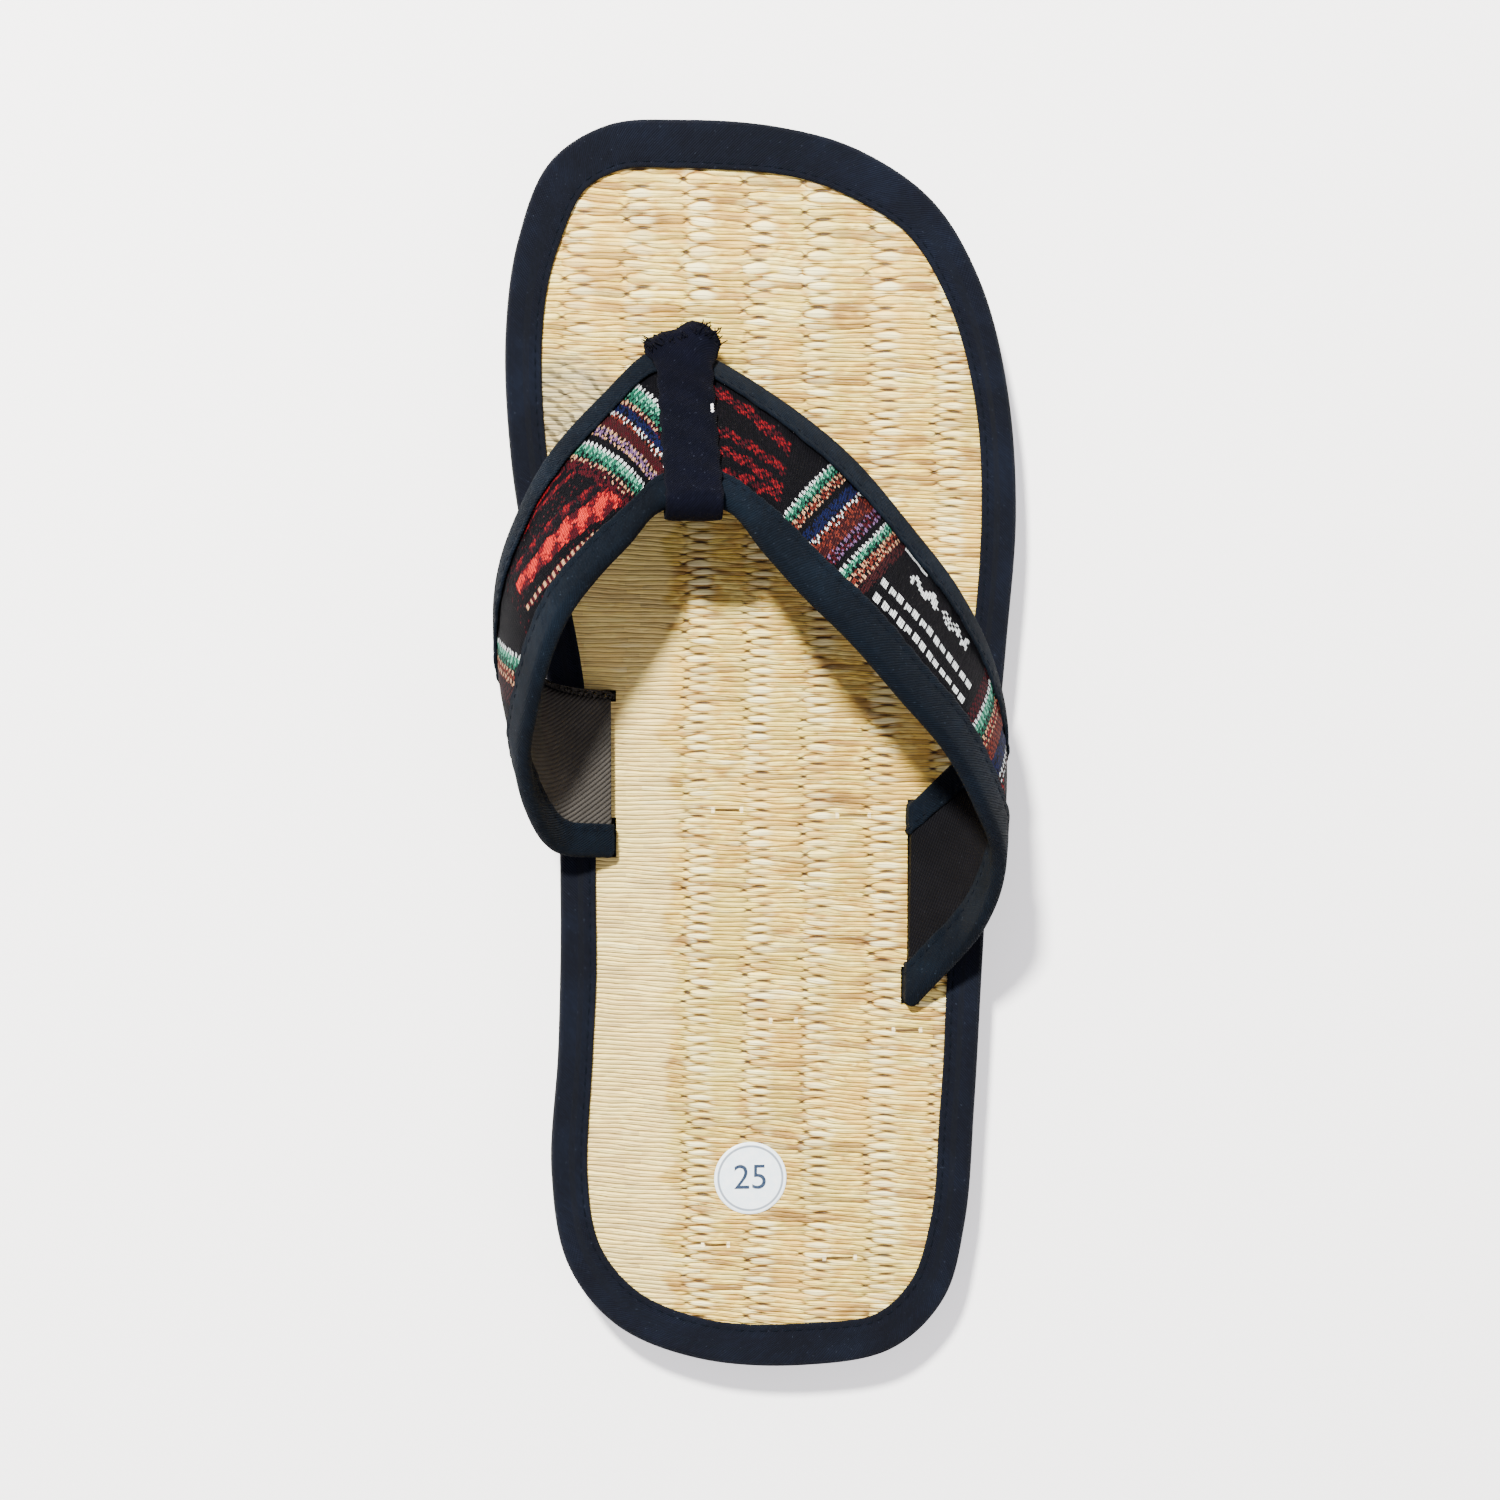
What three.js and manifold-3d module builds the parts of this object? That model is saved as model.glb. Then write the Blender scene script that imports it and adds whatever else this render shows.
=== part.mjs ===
// Woven mat slipper, right foot, in millimetres.
// +Y points to the toes, +X to the outer side of the foot and +Z up from the floor.

import * as THREE from 'three';
import { mergeVertices } from 'three/addons/utils/BufferGeometryUtils.js';
import Module from 'manifold-3d';

const wasm = await Module();
wasm.setup();

// Driving dimensions
const LENGTH = 260;
const BALL_WIDTH = 106;
const HEEL_WIDTH = 88.5;
const SOLE_THICKNESS = 12;
const SOLE_SET_BACK = 0.6;
const RIB_PITCH = 8.5;
const RIB_WAVE_LENGTH = 28.7;
const RIB_WAVE_HEIGHT = 10.9;
const RIB_CREST_X = 11.4;
const GROOVE_DEPTH = 2.8;
const GROOVE_MOUTH = 3.8;
const GROOVE_FLOOR = 1.2;
const MAT_THICKNESS = 2.4;
const MAT_TAPE_WIDTH = 7.4;
const MAT_TAPE_WALL = 0.9;
const MAT_TAPE_ROUNDING = 0.5;
const STRAP_RISE = 40;
const STRAP_WALL = 3.2;
const STRAP_EDGE_WALL = 1.8;
const STRAP_CROWN = 1;
const STRAP_TAPE_WIDTH = 7;
const STRAP_TAPE_WALL = 0.8;
const TAB_WIDTH = 12.2;
const TAB_FRONT_WIDTH = 14.4;
const TAB_FLARE = 8.5;
const TAB_WALL = 1.2;
const TAB_EDGE = 0.5;
const STICKER_DIAMETER = 15.3;
const STICKER_THICKNESS = 0.2;
const STICKER_ACROSS = -0.03;
const STICKER_ALONG = -0.346;
const GAP = 0.3;
const TAPE_GAP = 0.4;

// Places that other pieces share
const MAT_TOP = SOLE_THICKNESS + MAT_THICKNESS;
const TAB_STANDOFF = STRAP_WALL / 2 + STRAP_CROWN + STRAP_TAPE_WALL + TAPE_GAP;

// Fineness of the faceted shapes
const OUTLINE_STEPS = 84;
const SPANS_PER_ROW = 3;
const STEPS_PER_WAVE = 6;
const TAB_REAR_STEPS = 7;
const TAB_FRONT_STEPS = 3;
const STICKER_SIDES = 32;

// Plan outline of the mat with its tape, round from the toe tip by the outer side.
// along and across are shares of the length and of the local width, tape of the tape's width.
const OUTLINE = [
  { along: 0.500, across: -0.160, tape: 1.34 },
  { along: 0.496, across: 0.024, tape: 1.34 },
  { along: 0.479, across: 0.185, tape: 1.30 },
  { along: 0.439, across: 0.334, tape: 1.20 },
  { along: 0.376, across: 0.429, tape: 1.08 },
  { along: 0.292, across: 0.484, tape: 1.00 },
  { along: 0.192, across: 0.503, tape: 1.00 },
  { along: 0.081, across: 0.492, tape: 1.00 },
  { along: -0.045, across: 0.505, tape: 1.00 },
  { along: -0.173, across: 0.524, tape: 1.00 },
  { along: -0.288, across: 0.508, tape: 1.00 },
  { along: -0.385, across: 0.486, tape: 1.02 },
  { along: -0.448, across: 0.435, tape: 1.08 },
  { along: -0.488, across: 0.311, tape: 1.16 },
  { along: -0.500, across: 0.097, tape: 1.20 },
  { along: -0.492, across: -0.158, tape: 1.18 },
  { along: -0.463, across: -0.350, tape: 1.12 },
  { along: -0.413, across: -0.463, tape: 1.06 },
  { along: -0.338, across: -0.501, tape: 1.00 },
  { along: -0.238, across: -0.484, tape: 1.00 },
  { along: -0.115, across: -0.464, tape: 1.00 },
  { along: 0.008, across: -0.435, tape: 1.00 },
  { along: 0.131, across: -0.455, tape: 1.00 },
  { along: 0.231, across: -0.492, tape: 1.00 },
  { along: 0.327, across: -0.502, tape: 1.02 },
  { along: 0.404, across: -0.477, tape: 1.12 },
  { along: 0.465, across: -0.415, tape: 1.24 },
  { along: 0.495, across: -0.302, tape: 1.32 },
];

// Edges of the strap, a row for each section from the inner root over the V to the outer root.
// X is a share of the ball width, Y of the length and Z of the strap's rise over the mat.
const STRAP_ROWS = [
  { frontX: -0.308, frontY: 0.048, frontZ: 0.07, rearX: -0.304, rearY: -0.092, rearZ: 0.07 },
  { frontX: -0.370, frontY: 0.051, frontZ: 0.13, rearX: -0.412, rearY: -0.081, rearZ: 0.25 },
  { frontX: -0.430, frontY: 0.057, frontZ: 0.18, rearX: -0.458, rearY: -0.045, rearZ: 0.50 },
  { frontX: -0.500, frontY: 0.076, frontZ: 0.24, rearX: -0.474, rearY: -0.002, rearZ: 0.75 },
  { frontX: -0.516, frontY: 0.111, frontZ: 0.33, rearX: -0.459, rearY: 0.036, rearZ: 0.91 },
  { frontX: -0.507, frontY: 0.149, frontZ: 0.39, rearX: -0.435, rearY: 0.073, rearZ: 0.97 },
  { frontX: -0.473, frontY: 0.189, frontZ: 0.41, rearX: -0.397, rearY: 0.108, rearZ: 0.97 },
  { frontX: -0.421, frontY: 0.233, frontZ: 0.39, rearX: -0.343, rearY: 0.136, rearZ: 0.93 },
  { frontX: -0.324, frontY: 0.280, frontZ: 0.32, rearX: -0.280, rearY: 0.162, rearZ: 0.85 },
  { frontX: -0.225, frontY: 0.318, frontZ: 0.21, rearX: -0.222, rearY: 0.180, rearZ: 0.75 },
  { frontX: -0.156, frontY: 0.315, frontZ: 0.21, rearX: -0.156, rearY: 0.189, rearZ: 0.75 },
  { frontX: -0.086, frontY: 0.309, frontZ: 0.21, rearX: -0.090, rearY: 0.181, rearZ: 0.75 },
  { frontX: 0.048, frontY: 0.274, frontZ: 0.32, rearX: -0.030, rearY: 0.156, rearZ: 0.85 },
  { frontX: 0.157, frontY: 0.236, frontZ: 0.40, rearX: 0.040, rearY: 0.123, rearZ: 0.93 },
  { frontX: 0.268, frontY: 0.183, frontZ: 0.42, rearX: 0.127, rearY: 0.088, rearZ: 0.99 },
  { frontX: 0.357, frontY: 0.133, frontZ: 0.41, rearX: 0.222, rearY: 0.044, rearZ: 1.00 },
  { frontX: 0.424, frontY: 0.077, frontZ: 0.35, rearX: 0.305, rearY: 0.006, rearZ: 0.98 },
  { frontX: 0.452, frontY: 0.025, frontZ: 0.27, rearX: 0.375, rearY: -0.041, rearZ: 0.88 },
  { frontX: 0.443, frontY: -0.006, frontZ: 0.21, rearX: 0.424, rearY: -0.084, rearZ: 0.66 },
  { frontX: 0.382, frontY: -0.023, frontZ: 0.15, rearX: 0.407, rearY: -0.144, rearZ: 0.35 },
  { frontX: 0.286, frontY: -0.041, frontZ: 0.07, rearX: 0.281, rearY: -0.207, rearZ: 0.07 },
];
const V_ROW = 10;
const ROWS_TO_FULL_PADDING = 3;
const ROOT_UPRIGHT = 0.6;

// Padding of the strap between its taped edges, as shares of the width and of the added wall.
const PADDING = [
  { across: 0, fill: 0 },
  { across: 0.2, fill: 0.55 },
  { across: 0.5, fill: 1 },
  { across: 0.8, fill: 0.55 },
  { across: 1, fill: 0 },
];

// Solids

function addTriangle(list, a, b, c) {
  list.push(...a.toArray(), ...b.toArray(), ...c.toArray());
}

function closedGeometry(positions) {
  const raw = new THREE.BufferGeometry();
  raw.setAttribute('position', new THREE.Float32BufferAttribute(positions, 3));
  const geometry = mergeVertices(raw, 1e-5);
  if (signedVolume(geometry) < 0) {
    const index = geometry.index.array;
    for (let i = 0; i < index.length; i += 3) {
      [index[i], index[i + 1]] = [index[i + 1], index[i]];
    }
  }
  geometry.computeVertexNormals();
  return geometry;
}

function signedVolume(geometry) {
  const position = geometry.attributes.position;
  const index = geometry.index.array;
  const corners = [new THREE.Vector3(), new THREE.Vector3(), new THREE.Vector3()];
  let volume = 0;
  for (let i = 0; i < index.length; i += 3) {
    corners.forEach((corner, k) => corner.fromBufferAttribute(position, index[i + k]));
    volume += corners[0].dot(corners[1].cross(corners[2])) / 6;
  }
  return volume;
}

// Skin over rings of points that all follow one flat section; a loop needs no ends.
function loft(rings, section, isLoop) {
  const positions = [];
  const last = isLoop ? rings.length : rings.length - 1;
  for (let i = 0; i < last; i += 1) {
    const here = rings[i];
    const next = rings[(i + 1) % rings.length];
    here.forEach((point, k) => {
      const m = (k + 1) % here.length;
      addTriangle(positions, point, here[m], next[m]);
      addTriangle(positions, point, next[m], next[k]);
    });
  }
  if (!isLoop) {
    const end = rings[rings.length - 1];
    const isCounterClockwise = THREE.ShapeUtils.area(section) > 0;
    for (const face of THREE.ShapeUtils.triangulateShape(section, [])) {
      const [p, q, r] = isCounterClockwise ? face : [...face].reverse();
      addTriangle(positions, rings[0][r], rings[0][q], rings[0][p]);
      addTriangle(positions, end[p], end[q], end[r]);
    }
  }
  return closedGeometry(positions);
}

function toManifold(geometry) {
  const bare = geometry.clone();
  bare.deleteAttribute('normal');
  bare.deleteAttribute('uv');
  const merged = mergeVertices(bare, 1e-5);
  return new wasm.Manifold(new wasm.Mesh({
    numProp: 3,
    vertProperties: new Float32Array(merged.attributes.position.array),
    triVerts: new Uint32Array(merged.index.array),
  }));
}

function fromManifold(solid) {
  const mesh = solid.getMesh();
  const geometry = new THREE.BufferGeometry();
  geometry.setAttribute('position', new THREE.BufferAttribute(mesh.vertProperties, 3));
  geometry.setIndex(new THREE.BufferAttribute(mesh.triVerts, 1));
  geometry.computeVertexNormals();
  return geometry;
}

// A flat plate between two heights, with holes through it.
function plate(outline, bottom, top, holes = []) {
  const shape = new THREE.Shape(outline);
  holes.forEach((hole) => shape.holes.push(new THREE.Path(hole)));
  const geometry = new THREE.ExtrudeGeometry(shape, { depth: top - bottom, bevelEnabled: false });
  geometry.translate(0, 0, bottom);
  geometry.deleteAttribute('uv');
  geometry.deleteAttribute('normal');
  const merged = mergeVertices(geometry, 1e-5);
  merged.computeVertexNormals();
  return merged;
}

// Outline of the foot

// The local width goes from the heel's to the ball's between these shares of the length.
const WAIST_REAR = -0.2;
const WAIST_FRONT = 0.15;

function localWidth(along) {
  const blend = THREE.MathUtils.smoothstep(along, WAIST_REAR, WAIST_FRONT);
  return THREE.MathUtils.lerp(HEEL_WIDTH, BALL_WIDTH, blend);
}

const outlineCurve = new THREE.CatmullRomCurve3(
  OUTLINE.map(({ along, across, tape }) => new THREE.Vector3(
    across * localWidth(along),
    along * LENGTH,
    tape * MAT_TAPE_WIDTH,
  )),
  true,
  'centripetal',
);

// Points round the outline with the direction inwards and the width of the tape there.
const outlineStations = Array.from({ length: OUTLINE_STEPS }, (_, i) => {
  const share = i / OUTLINE_STEPS;
  const point = outlineCurve.getPoint(share);
  const tangent = outlineCurve.getTangent(share);
  const inward = new THREE.Vector2(tangent.y, -tangent.x).normalize();
  return { point, inward, tape: point.z };
});

function outlinePoint({ point, inward }, setBack) {
  return new THREE.Vector2(point.x + inward.x * setBack, point.y + inward.y * setBack);
}

function outlineAt(setBack) {
  return outlineStations.map((station) => outlinePoint(station, setBack));
}

// Sole

// The wavy grooves between the ribs run right across, out past both edges; each is a tapered channel.
function groove(row) {
  const step = RIB_WAVE_LENGTH / STEPS_PER_WAVE;
  const reach = Math.ceil((BALL_WIDTH / 2 + RIB_CREST_X) / step);
  const below = GAP;
  const taper = (GROOVE_MOUTH - GROOVE_FLOOR) / 2 / GROOVE_DEPTH;
  const mouth = GROOVE_MOUTH / 2 + taper * below;
  const section = [
    new THREE.Vector2(-mouth, -below),
    new THREE.Vector2(mouth, -below),
    new THREE.Vector2(GROOVE_FLOOR / 2, GROOVE_DEPTH),
    new THREE.Vector2(-GROOVE_FLOOR / 2, GROOVE_DEPTH),
  ];
  const rings = [];
  for (let i = -reach; i <= reach; i += 1) {
    const x = RIB_CREST_X + i * step;
    const swing = Math.cos((2 * Math.PI * i) / STEPS_PER_WAVE);
    const y = row * RIB_PITCH + (RIB_WAVE_HEIGHT / 2) * swing;
    rings.push(section.map((corner) => new THREE.Vector3(x, y + corner.x, corner.y)));
  }
  return loft(rings, section, false);
}

function makeOutsole() {
  let sole = toManifold(plate(outlineAt(SOLE_SET_BACK), 0, SOLE_THICKNESS));
  const rows = Math.ceil((LENGTH / 2 + RIB_WAVE_HEIGHT) / RIB_PITCH);
  for (let row = -rows; row <= rows; row += 1) {
    sole = sole.subtract(toManifold(groove(row)));
  }
  return fromManifold(sole);
}

// Strap

function strapEdge(x, y, z) {
  return new THREE.CatmullRomCurve3(
    STRAP_ROWS.map((row) => new THREE.Vector3(
      row[x] * BALL_WIDTH,
      row[y] * LENGTH,
      MAT_TOP + row[z] * STRAP_RISE,
    )),
    false,
    'centripetal',
  );
}

const frontEdge = strapEdge('frontX', 'frontY', 'frontZ');
const rearEdge = strapEdge('rearX', 'rearY', 'rearZ');

// Sections of the strap from root to root; each root goes straight down through the mat.
function makeStrapStations() {
  const spans = (STRAP_ROWS.length - 1) * SPANS_PER_ROW;
  const stations = [];
  for (let i = 0; i <= spans; i += 1) {
    const share = i / spans;
    const rowsFromRoot = Math.min(i, spans - i) / SPANS_PER_ROW;
    stations.push({
      padding: Math.min(1, rowsFromRoot / ROWS_TO_FULL_PADDING),
      front: frontEdge.getPoint(share),
      rear: rearEdge.getPoint(share),
      frontWay: frontEdge.getTangent(share),
      rearWay: rearEdge.getTangent(share),
    });
  }
  const up = new THREE.Vector3(0, 0, 1);
  const down = new THREE.Vector3(0, 0, -1);
  const foot = (station, way) => ({
    padding: 0,
    front: station.front.clone().setZ(SOLE_THICKNESS),
    rear: station.rear.clone().setZ(SOLE_THICKNESS),
    frontWay: way,
    rearWay: way,
  });
  const first = stations[0];
  const last = stations[spans];
  first.frontWay.lerp(up, ROOT_UPRIGHT);
  first.rearWay.lerp(up, ROOT_UPRIGHT);
  last.frontWay.lerp(down, ROOT_UPRIGHT);
  last.rearWay.lerp(down, ROOT_UPRIGHT);
  return [foot(first, up), ...stations, foot(last, down)];
}

const strapStations = makeStrapStations();

function strapWidth(station) {
  return station.front.distanceTo(station.rear);
}

// A point of the strap, from a distance behind the front edge and a lift off its middle surface.
function strapPoint(station, fromFront, lift) {
  const share = fromFront / strapWidth(station);
  const across = station.rear.clone().sub(station.front).normalize();
  const way = station.frontWay.clone().lerp(station.rearWay, share);
  const outward = across.clone().cross(way).normalize();
  const crown = STRAP_CROWN * station.padding * (1 - (2 * share - 1) ** 2);
  return station.front.clone()
    .addScaledVector(across, fromFront)
    .addScaledVector(outward, lift + crown);
}

// The cloth ends just inside the fold of its tapes.
const CLOTH_INSET = STRAP_TAPE_WALL + TAPE_GAP;

function halfWall(share, padding) {
  const after = PADDING.find(({ across }) => across >= share);
  const before = PADDING[Math.max(0, PADDING.indexOf(after) - 1)];
  const span = after.across - before.across || 1;
  const fill = THREE.MathUtils.lerp(before.fill, after.fill, (share - before.across) / span);
  return THREE.MathUtils.lerp(STRAP_EDGE_WALL, STRAP_WALL, fill * padding) / 2;
}

function makeStrap() {
  const rings = strapStations.map((station) => {
    const width = strapWidth(station) - 2 * CLOTH_INSET;
    const side = (sign) => PADDING.map(({ across }) => strapPoint(
      station,
      CLOTH_INSET + across * width,
      sign * halfWall(across, station.padding),
    ));
    return [...side(1), ...side(-1).reverse()];
  });
  const top = PADDING.map(({ across }) => new THREE.Vector2(across * STRAP_RISE, halfWall(across, 1)));
  const bottom = top.map((point) => new THREE.Vector2(point.x, -point.y)).reverse();
  return loft(rings, [...top, ...bottom], false);
}

// Tape folded round one edge of the strap; fromEdge is measured in from that edge.
function makeStrapTape(isRear) {
  const tapeSection = (station) => {
    const clothWidth = strapWidth(station) - 2 * CLOTH_INSET;
    const legShare = (STRAP_TAPE_WIDTH - CLOTH_INSET) / clothWidth;
    const inner = halfWall(legShare, station.padding) + TAPE_GAP;
    const innerEdge = STRAP_EDGE_WALL / 2 + TAPE_GAP;
    return [
      [STRAP_TAPE_WIDTH, inner + STRAP_TAPE_WALL],
      [STRAP_TAPE_WALL, innerEdge + STRAP_TAPE_WALL],
      [0, innerEdge],
      [0, -innerEdge],
      [STRAP_TAPE_WALL, -innerEdge - STRAP_TAPE_WALL],
      [STRAP_TAPE_WIDTH, -inner - STRAP_TAPE_WALL],
      [STRAP_TAPE_WIDTH, -inner],
      [STRAP_TAPE_WALL, -innerEdge],
      [STRAP_TAPE_WALL, innerEdge],
      [STRAP_TAPE_WIDTH, inner],
    ];
  };
  const rings = strapStations.map((station) => tapeSection(station).map(([fromEdge, lift]) => {
    const fromFront = isRear ? strapWidth(station) - fromEdge : fromEdge;
    return strapPoint(station, fromFront, lift);
  }));
  const flat = tapeSection(strapStations[0]).map(([fromEdge, lift]) => (
    new THREE.Vector2(isRear ? -fromEdge : fromEdge, lift)));
  return loft(rings, flat, false);
}

// Toe tab, a loop of cloth in the plane of the V that ends in two legs through the mat

const vStation = strapStations[1 + V_ROW * SPANS_PER_ROW];
const tabAcross = vStation.front.x;
const tabFront = new THREE.Vector2(vStation.front.y, vStation.front.z);
const tabRear = new THREE.Vector2(vStation.rear.y, vStation.rear.z);
const tabWay = tabRear.clone().sub(tabFront).normalize();
const tabOut = new THREE.Vector2(tabWay.y, -tabWay.x);
const tabReach = TAB_STANDOFF + TAB_WALL / 2;
const frontLegY = tabFront.x + tabReach;
const rearLegY = frontLegY - TAB_WALL - GAP;

function tabArc(centre, from, to, steps) {
  return Array.from({ length: steps + 1 }, (_, i) => {
    const angle = THREE.MathUtils.lerp(from, to, i / steps);
    return new THREE.Vector2(
      centre.x + tabReach * Math.cos(angle),
      centre.y + tabReach * Math.sin(angle),
    );
  });
}

// The middle line of the cloth, from the foot of the rear leg round the V to the front leg's.
function tabPath() {
  const underFront = tabFront.clone().addScaledVector(tabOut, -tabReach);
  const toCorner = (rearLegY - underFront.x) / tabWay.x;
  const corner = underFront.clone().addScaledVector(tabWay, toCorner);
  const outAngle = Math.atan2(tabOut.y, tabOut.x);
  const rearTurn = tabArc(tabRear, outAngle + Math.PI, outAngle, TAB_REAR_STEPS);
  const frontTurn = tabArc(tabFront, outAngle, 0, TAB_FRONT_STEPS);
  return [
    { at: new THREE.Vector2(rearLegY, SOLE_THICKNESS), wide: 0 },
    { at: corner, wide: 0 },
    ...rearTurn.map((at) => ({ at, wide: 0 })),
    { at: frontTurn[0].clone().addScaledVector(tabWay, TAB_FLARE), wide: 0 },
    ...frontTurn.map((at) => ({ at, wide: 1 })),
    { at: new THREE.Vector2(frontLegY, SOLE_THICKNESS), wide: 0 },
  ];
}

// A section of the cloth turned square to its path, mitred where the path bends.
function makeToeTab() {
  const path = tabPath();
  const face = TAB_WALL / 2;
  const sectionAt = (width) => [
    [-width / 2, TAB_EDGE / 2],
    [-width / 2 + face, face],
    [width / 2 - face, face],
    [width / 2, TAB_EDGE / 2],
    [width / 2, -TAB_EDGE / 2],
    [width / 2 - face, -face],
    [-width / 2 + face, -face],
    [-width / 2, -TAB_EDGE / 2],
  ];
  const rings = path.map(({ at, wide }, i) => {
    const before = path[Math.max(0, i - 1)].at;
    const after = path[Math.min(path.length - 1, i + 1)].at;
    const arriving = at.clone().sub(before).normalize();
    const leaving = after.clone().sub(at).normalize();
    const way = arriving.clone().add(leaving).normalize();
    const stretch = 1 / way.dot(i > 0 ? arriving : leaving);
    const width = THREE.MathUtils.lerp(TAB_WIDTH, TAB_FRONT_WIDTH, wide);
    return sectionAt(width).map(([across, lift]) => new THREE.Vector3(
      tabAcross + across,
      at.x + way.y * lift * stretch,
      at.y - way.x * lift * stretch,
    ));
  });
  const flat = sectionAt(TAB_WIDTH).map(([across, lift]) => new THREE.Vector2(across, lift));
  return loft(rings, flat, false);
}

// Mat, its tape and the sticker

function slot(centre, way, halfLength, halfWidth) {
  const side = new THREE.Vector2(-way.y, way.x);
  return [[-1, -1], [1, -1], [1, 1], [-1, 1]].map(([a, b]) => (
    centre.clone()
      .addScaledVector(way, a * halfLength)
      .addScaledVector(side, b * halfWidth)));
}

function rootSlot(station) {
  const front = new THREE.Vector2(station.front.x, station.front.y);
  const rear = new THREE.Vector2(station.rear.x, station.rear.y);
  const way = rear.clone().sub(front).normalize();
  const halfLength = front.distanceTo(rear) / 2 + GAP;
  const halfWidth = STRAP_EDGE_WALL / 2 + STRAP_TAPE_WALL + TAPE_GAP + GAP;
  return slot(front.add(rear).divideScalar(2), way, halfLength, halfWidth);
}

function toeSlot() {
  const centre = new THREE.Vector2(tabAcross, (frontLegY + rearLegY) / 2);
  const halfLength = TAB_WIDTH / 2 + GAP;
  const halfWidth = TAB_WALL + GAP / 2 + GAP;
  return slot(centre, new THREE.Vector2(1, 0), halfLength, halfWidth);
}

function makeMat() {
  const holes = [
    toeSlot(),
    rootSlot(strapStations[0]),
    rootSlot(strapStations[strapStations.length - 1]),
  ];
  return plate(outlineAt(MAT_TAPE_WALL + GAP), SOLE_THICKNESS, MAT_TOP, holes);
}

function makeMatTape() {
  const top = MAT_TOP + MAT_TAPE_WALL;
  const sectionAt = (tape) => [
    [0, SOLE_THICKNESS],
    [0, top - MAT_TAPE_ROUNDING],
    [MAT_TAPE_ROUNDING, top],
    [tape, top],
    [tape, MAT_TOP],
    [MAT_TAPE_WALL, MAT_TOP],
    [MAT_TAPE_WALL, SOLE_THICKNESS],
  ];
  const rings = outlineStations.map((station) => sectionAt(station.tape).map(([setBack, z]) => {
    const { x, y } = outlinePoint(station, setBack);
    return new THREE.Vector3(x, y, z);
  }));
  return loft(rings, [], true);
}

function makeSticker() {
  const radius = STICKER_DIAMETER / 2;
  const disc = new THREE.CylinderGeometry(radius, radius, STICKER_THICKNESS, STICKER_SIDES);
  disc.rotateX(Math.PI / 2);
  return disc;
}

// Assembly

const slipper = new THREE.Group();

function addPiece(name, geometry, colour, roughness) {
  const material = new THREE.MeshStandardMaterial({ color: colour, roughness, metalness: 0 });
  const mesh = new THREE.Mesh(geometry, material);
  mesh.name = name;
  slipper.add(mesh);
  return mesh;
}

addPiece('outsole', makeOutsole(), 0x2c3038, 0.55);
addPiece('insole_mat', makeMat(), 0xd8c39a, 0.7);
addPiece('mat_binding', makeMatTape(), 0x1c2432, 0.9);
addPiece('upper_strap', makeStrap(), 0x2a1a20, 0.95);
addPiece('strap_binding_front', makeStrapTape(false), 0x232a38, 0.9);
addPiece('strap_binding_rear', makeStrapTape(true), 0x232a38, 0.9);
addPiece('toe_tab', makeToeTab(), 0x1e222c, 0.9);

// The sticker lies on the mat over the middle of the heel.
const sticker = addPiece('size_sticker', makeSticker(), 0xe4eef4, 0.4);
sticker.position.set(
  STICKER_ACROSS * HEEL_WIDTH,
  STICKER_ALONG * LENGTH,
  MAT_TOP + STICKER_THICKNESS / 2,
);

// The origin is on the floor under the middle of the slipper's box.
const box = new THREE.Box3().setFromObject(slipper);
const middle = box.getCenter(new THREE.Vector3());
slipper.position.set(-middle.x, -middle.y, 0);

export default slipper;
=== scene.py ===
import math

import bmesh
import bpy
import numpy as np
from mathutils import Matrix, Vector


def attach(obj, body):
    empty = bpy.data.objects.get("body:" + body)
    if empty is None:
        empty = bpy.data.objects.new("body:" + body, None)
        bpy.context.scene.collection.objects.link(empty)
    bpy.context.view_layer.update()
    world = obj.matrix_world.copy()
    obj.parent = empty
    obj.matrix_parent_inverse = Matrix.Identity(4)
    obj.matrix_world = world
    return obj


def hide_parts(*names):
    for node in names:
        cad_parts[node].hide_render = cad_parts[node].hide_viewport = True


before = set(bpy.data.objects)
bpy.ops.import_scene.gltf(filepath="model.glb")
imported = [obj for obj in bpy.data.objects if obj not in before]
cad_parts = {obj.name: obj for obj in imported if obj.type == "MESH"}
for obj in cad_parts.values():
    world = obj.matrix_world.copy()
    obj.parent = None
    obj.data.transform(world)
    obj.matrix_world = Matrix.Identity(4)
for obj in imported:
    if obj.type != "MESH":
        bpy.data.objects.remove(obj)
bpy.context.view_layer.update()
mm = 0.001
print("slipper: frame loaded")

# shared sizes, in millimetres; shares are of the length and of the local width
shoe = {
    "length": 260.0, "ballWidth": 106.0, "heelWidth": 88.5,
    "soleThickness": 12.0, "matThickness": 2.4, "middleShift": 1.689,
    "waistRear": -0.2, "waistFront": 0.15,
}
matTop = shoe["soleThickness"] + shoe["matThickness"]

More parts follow.
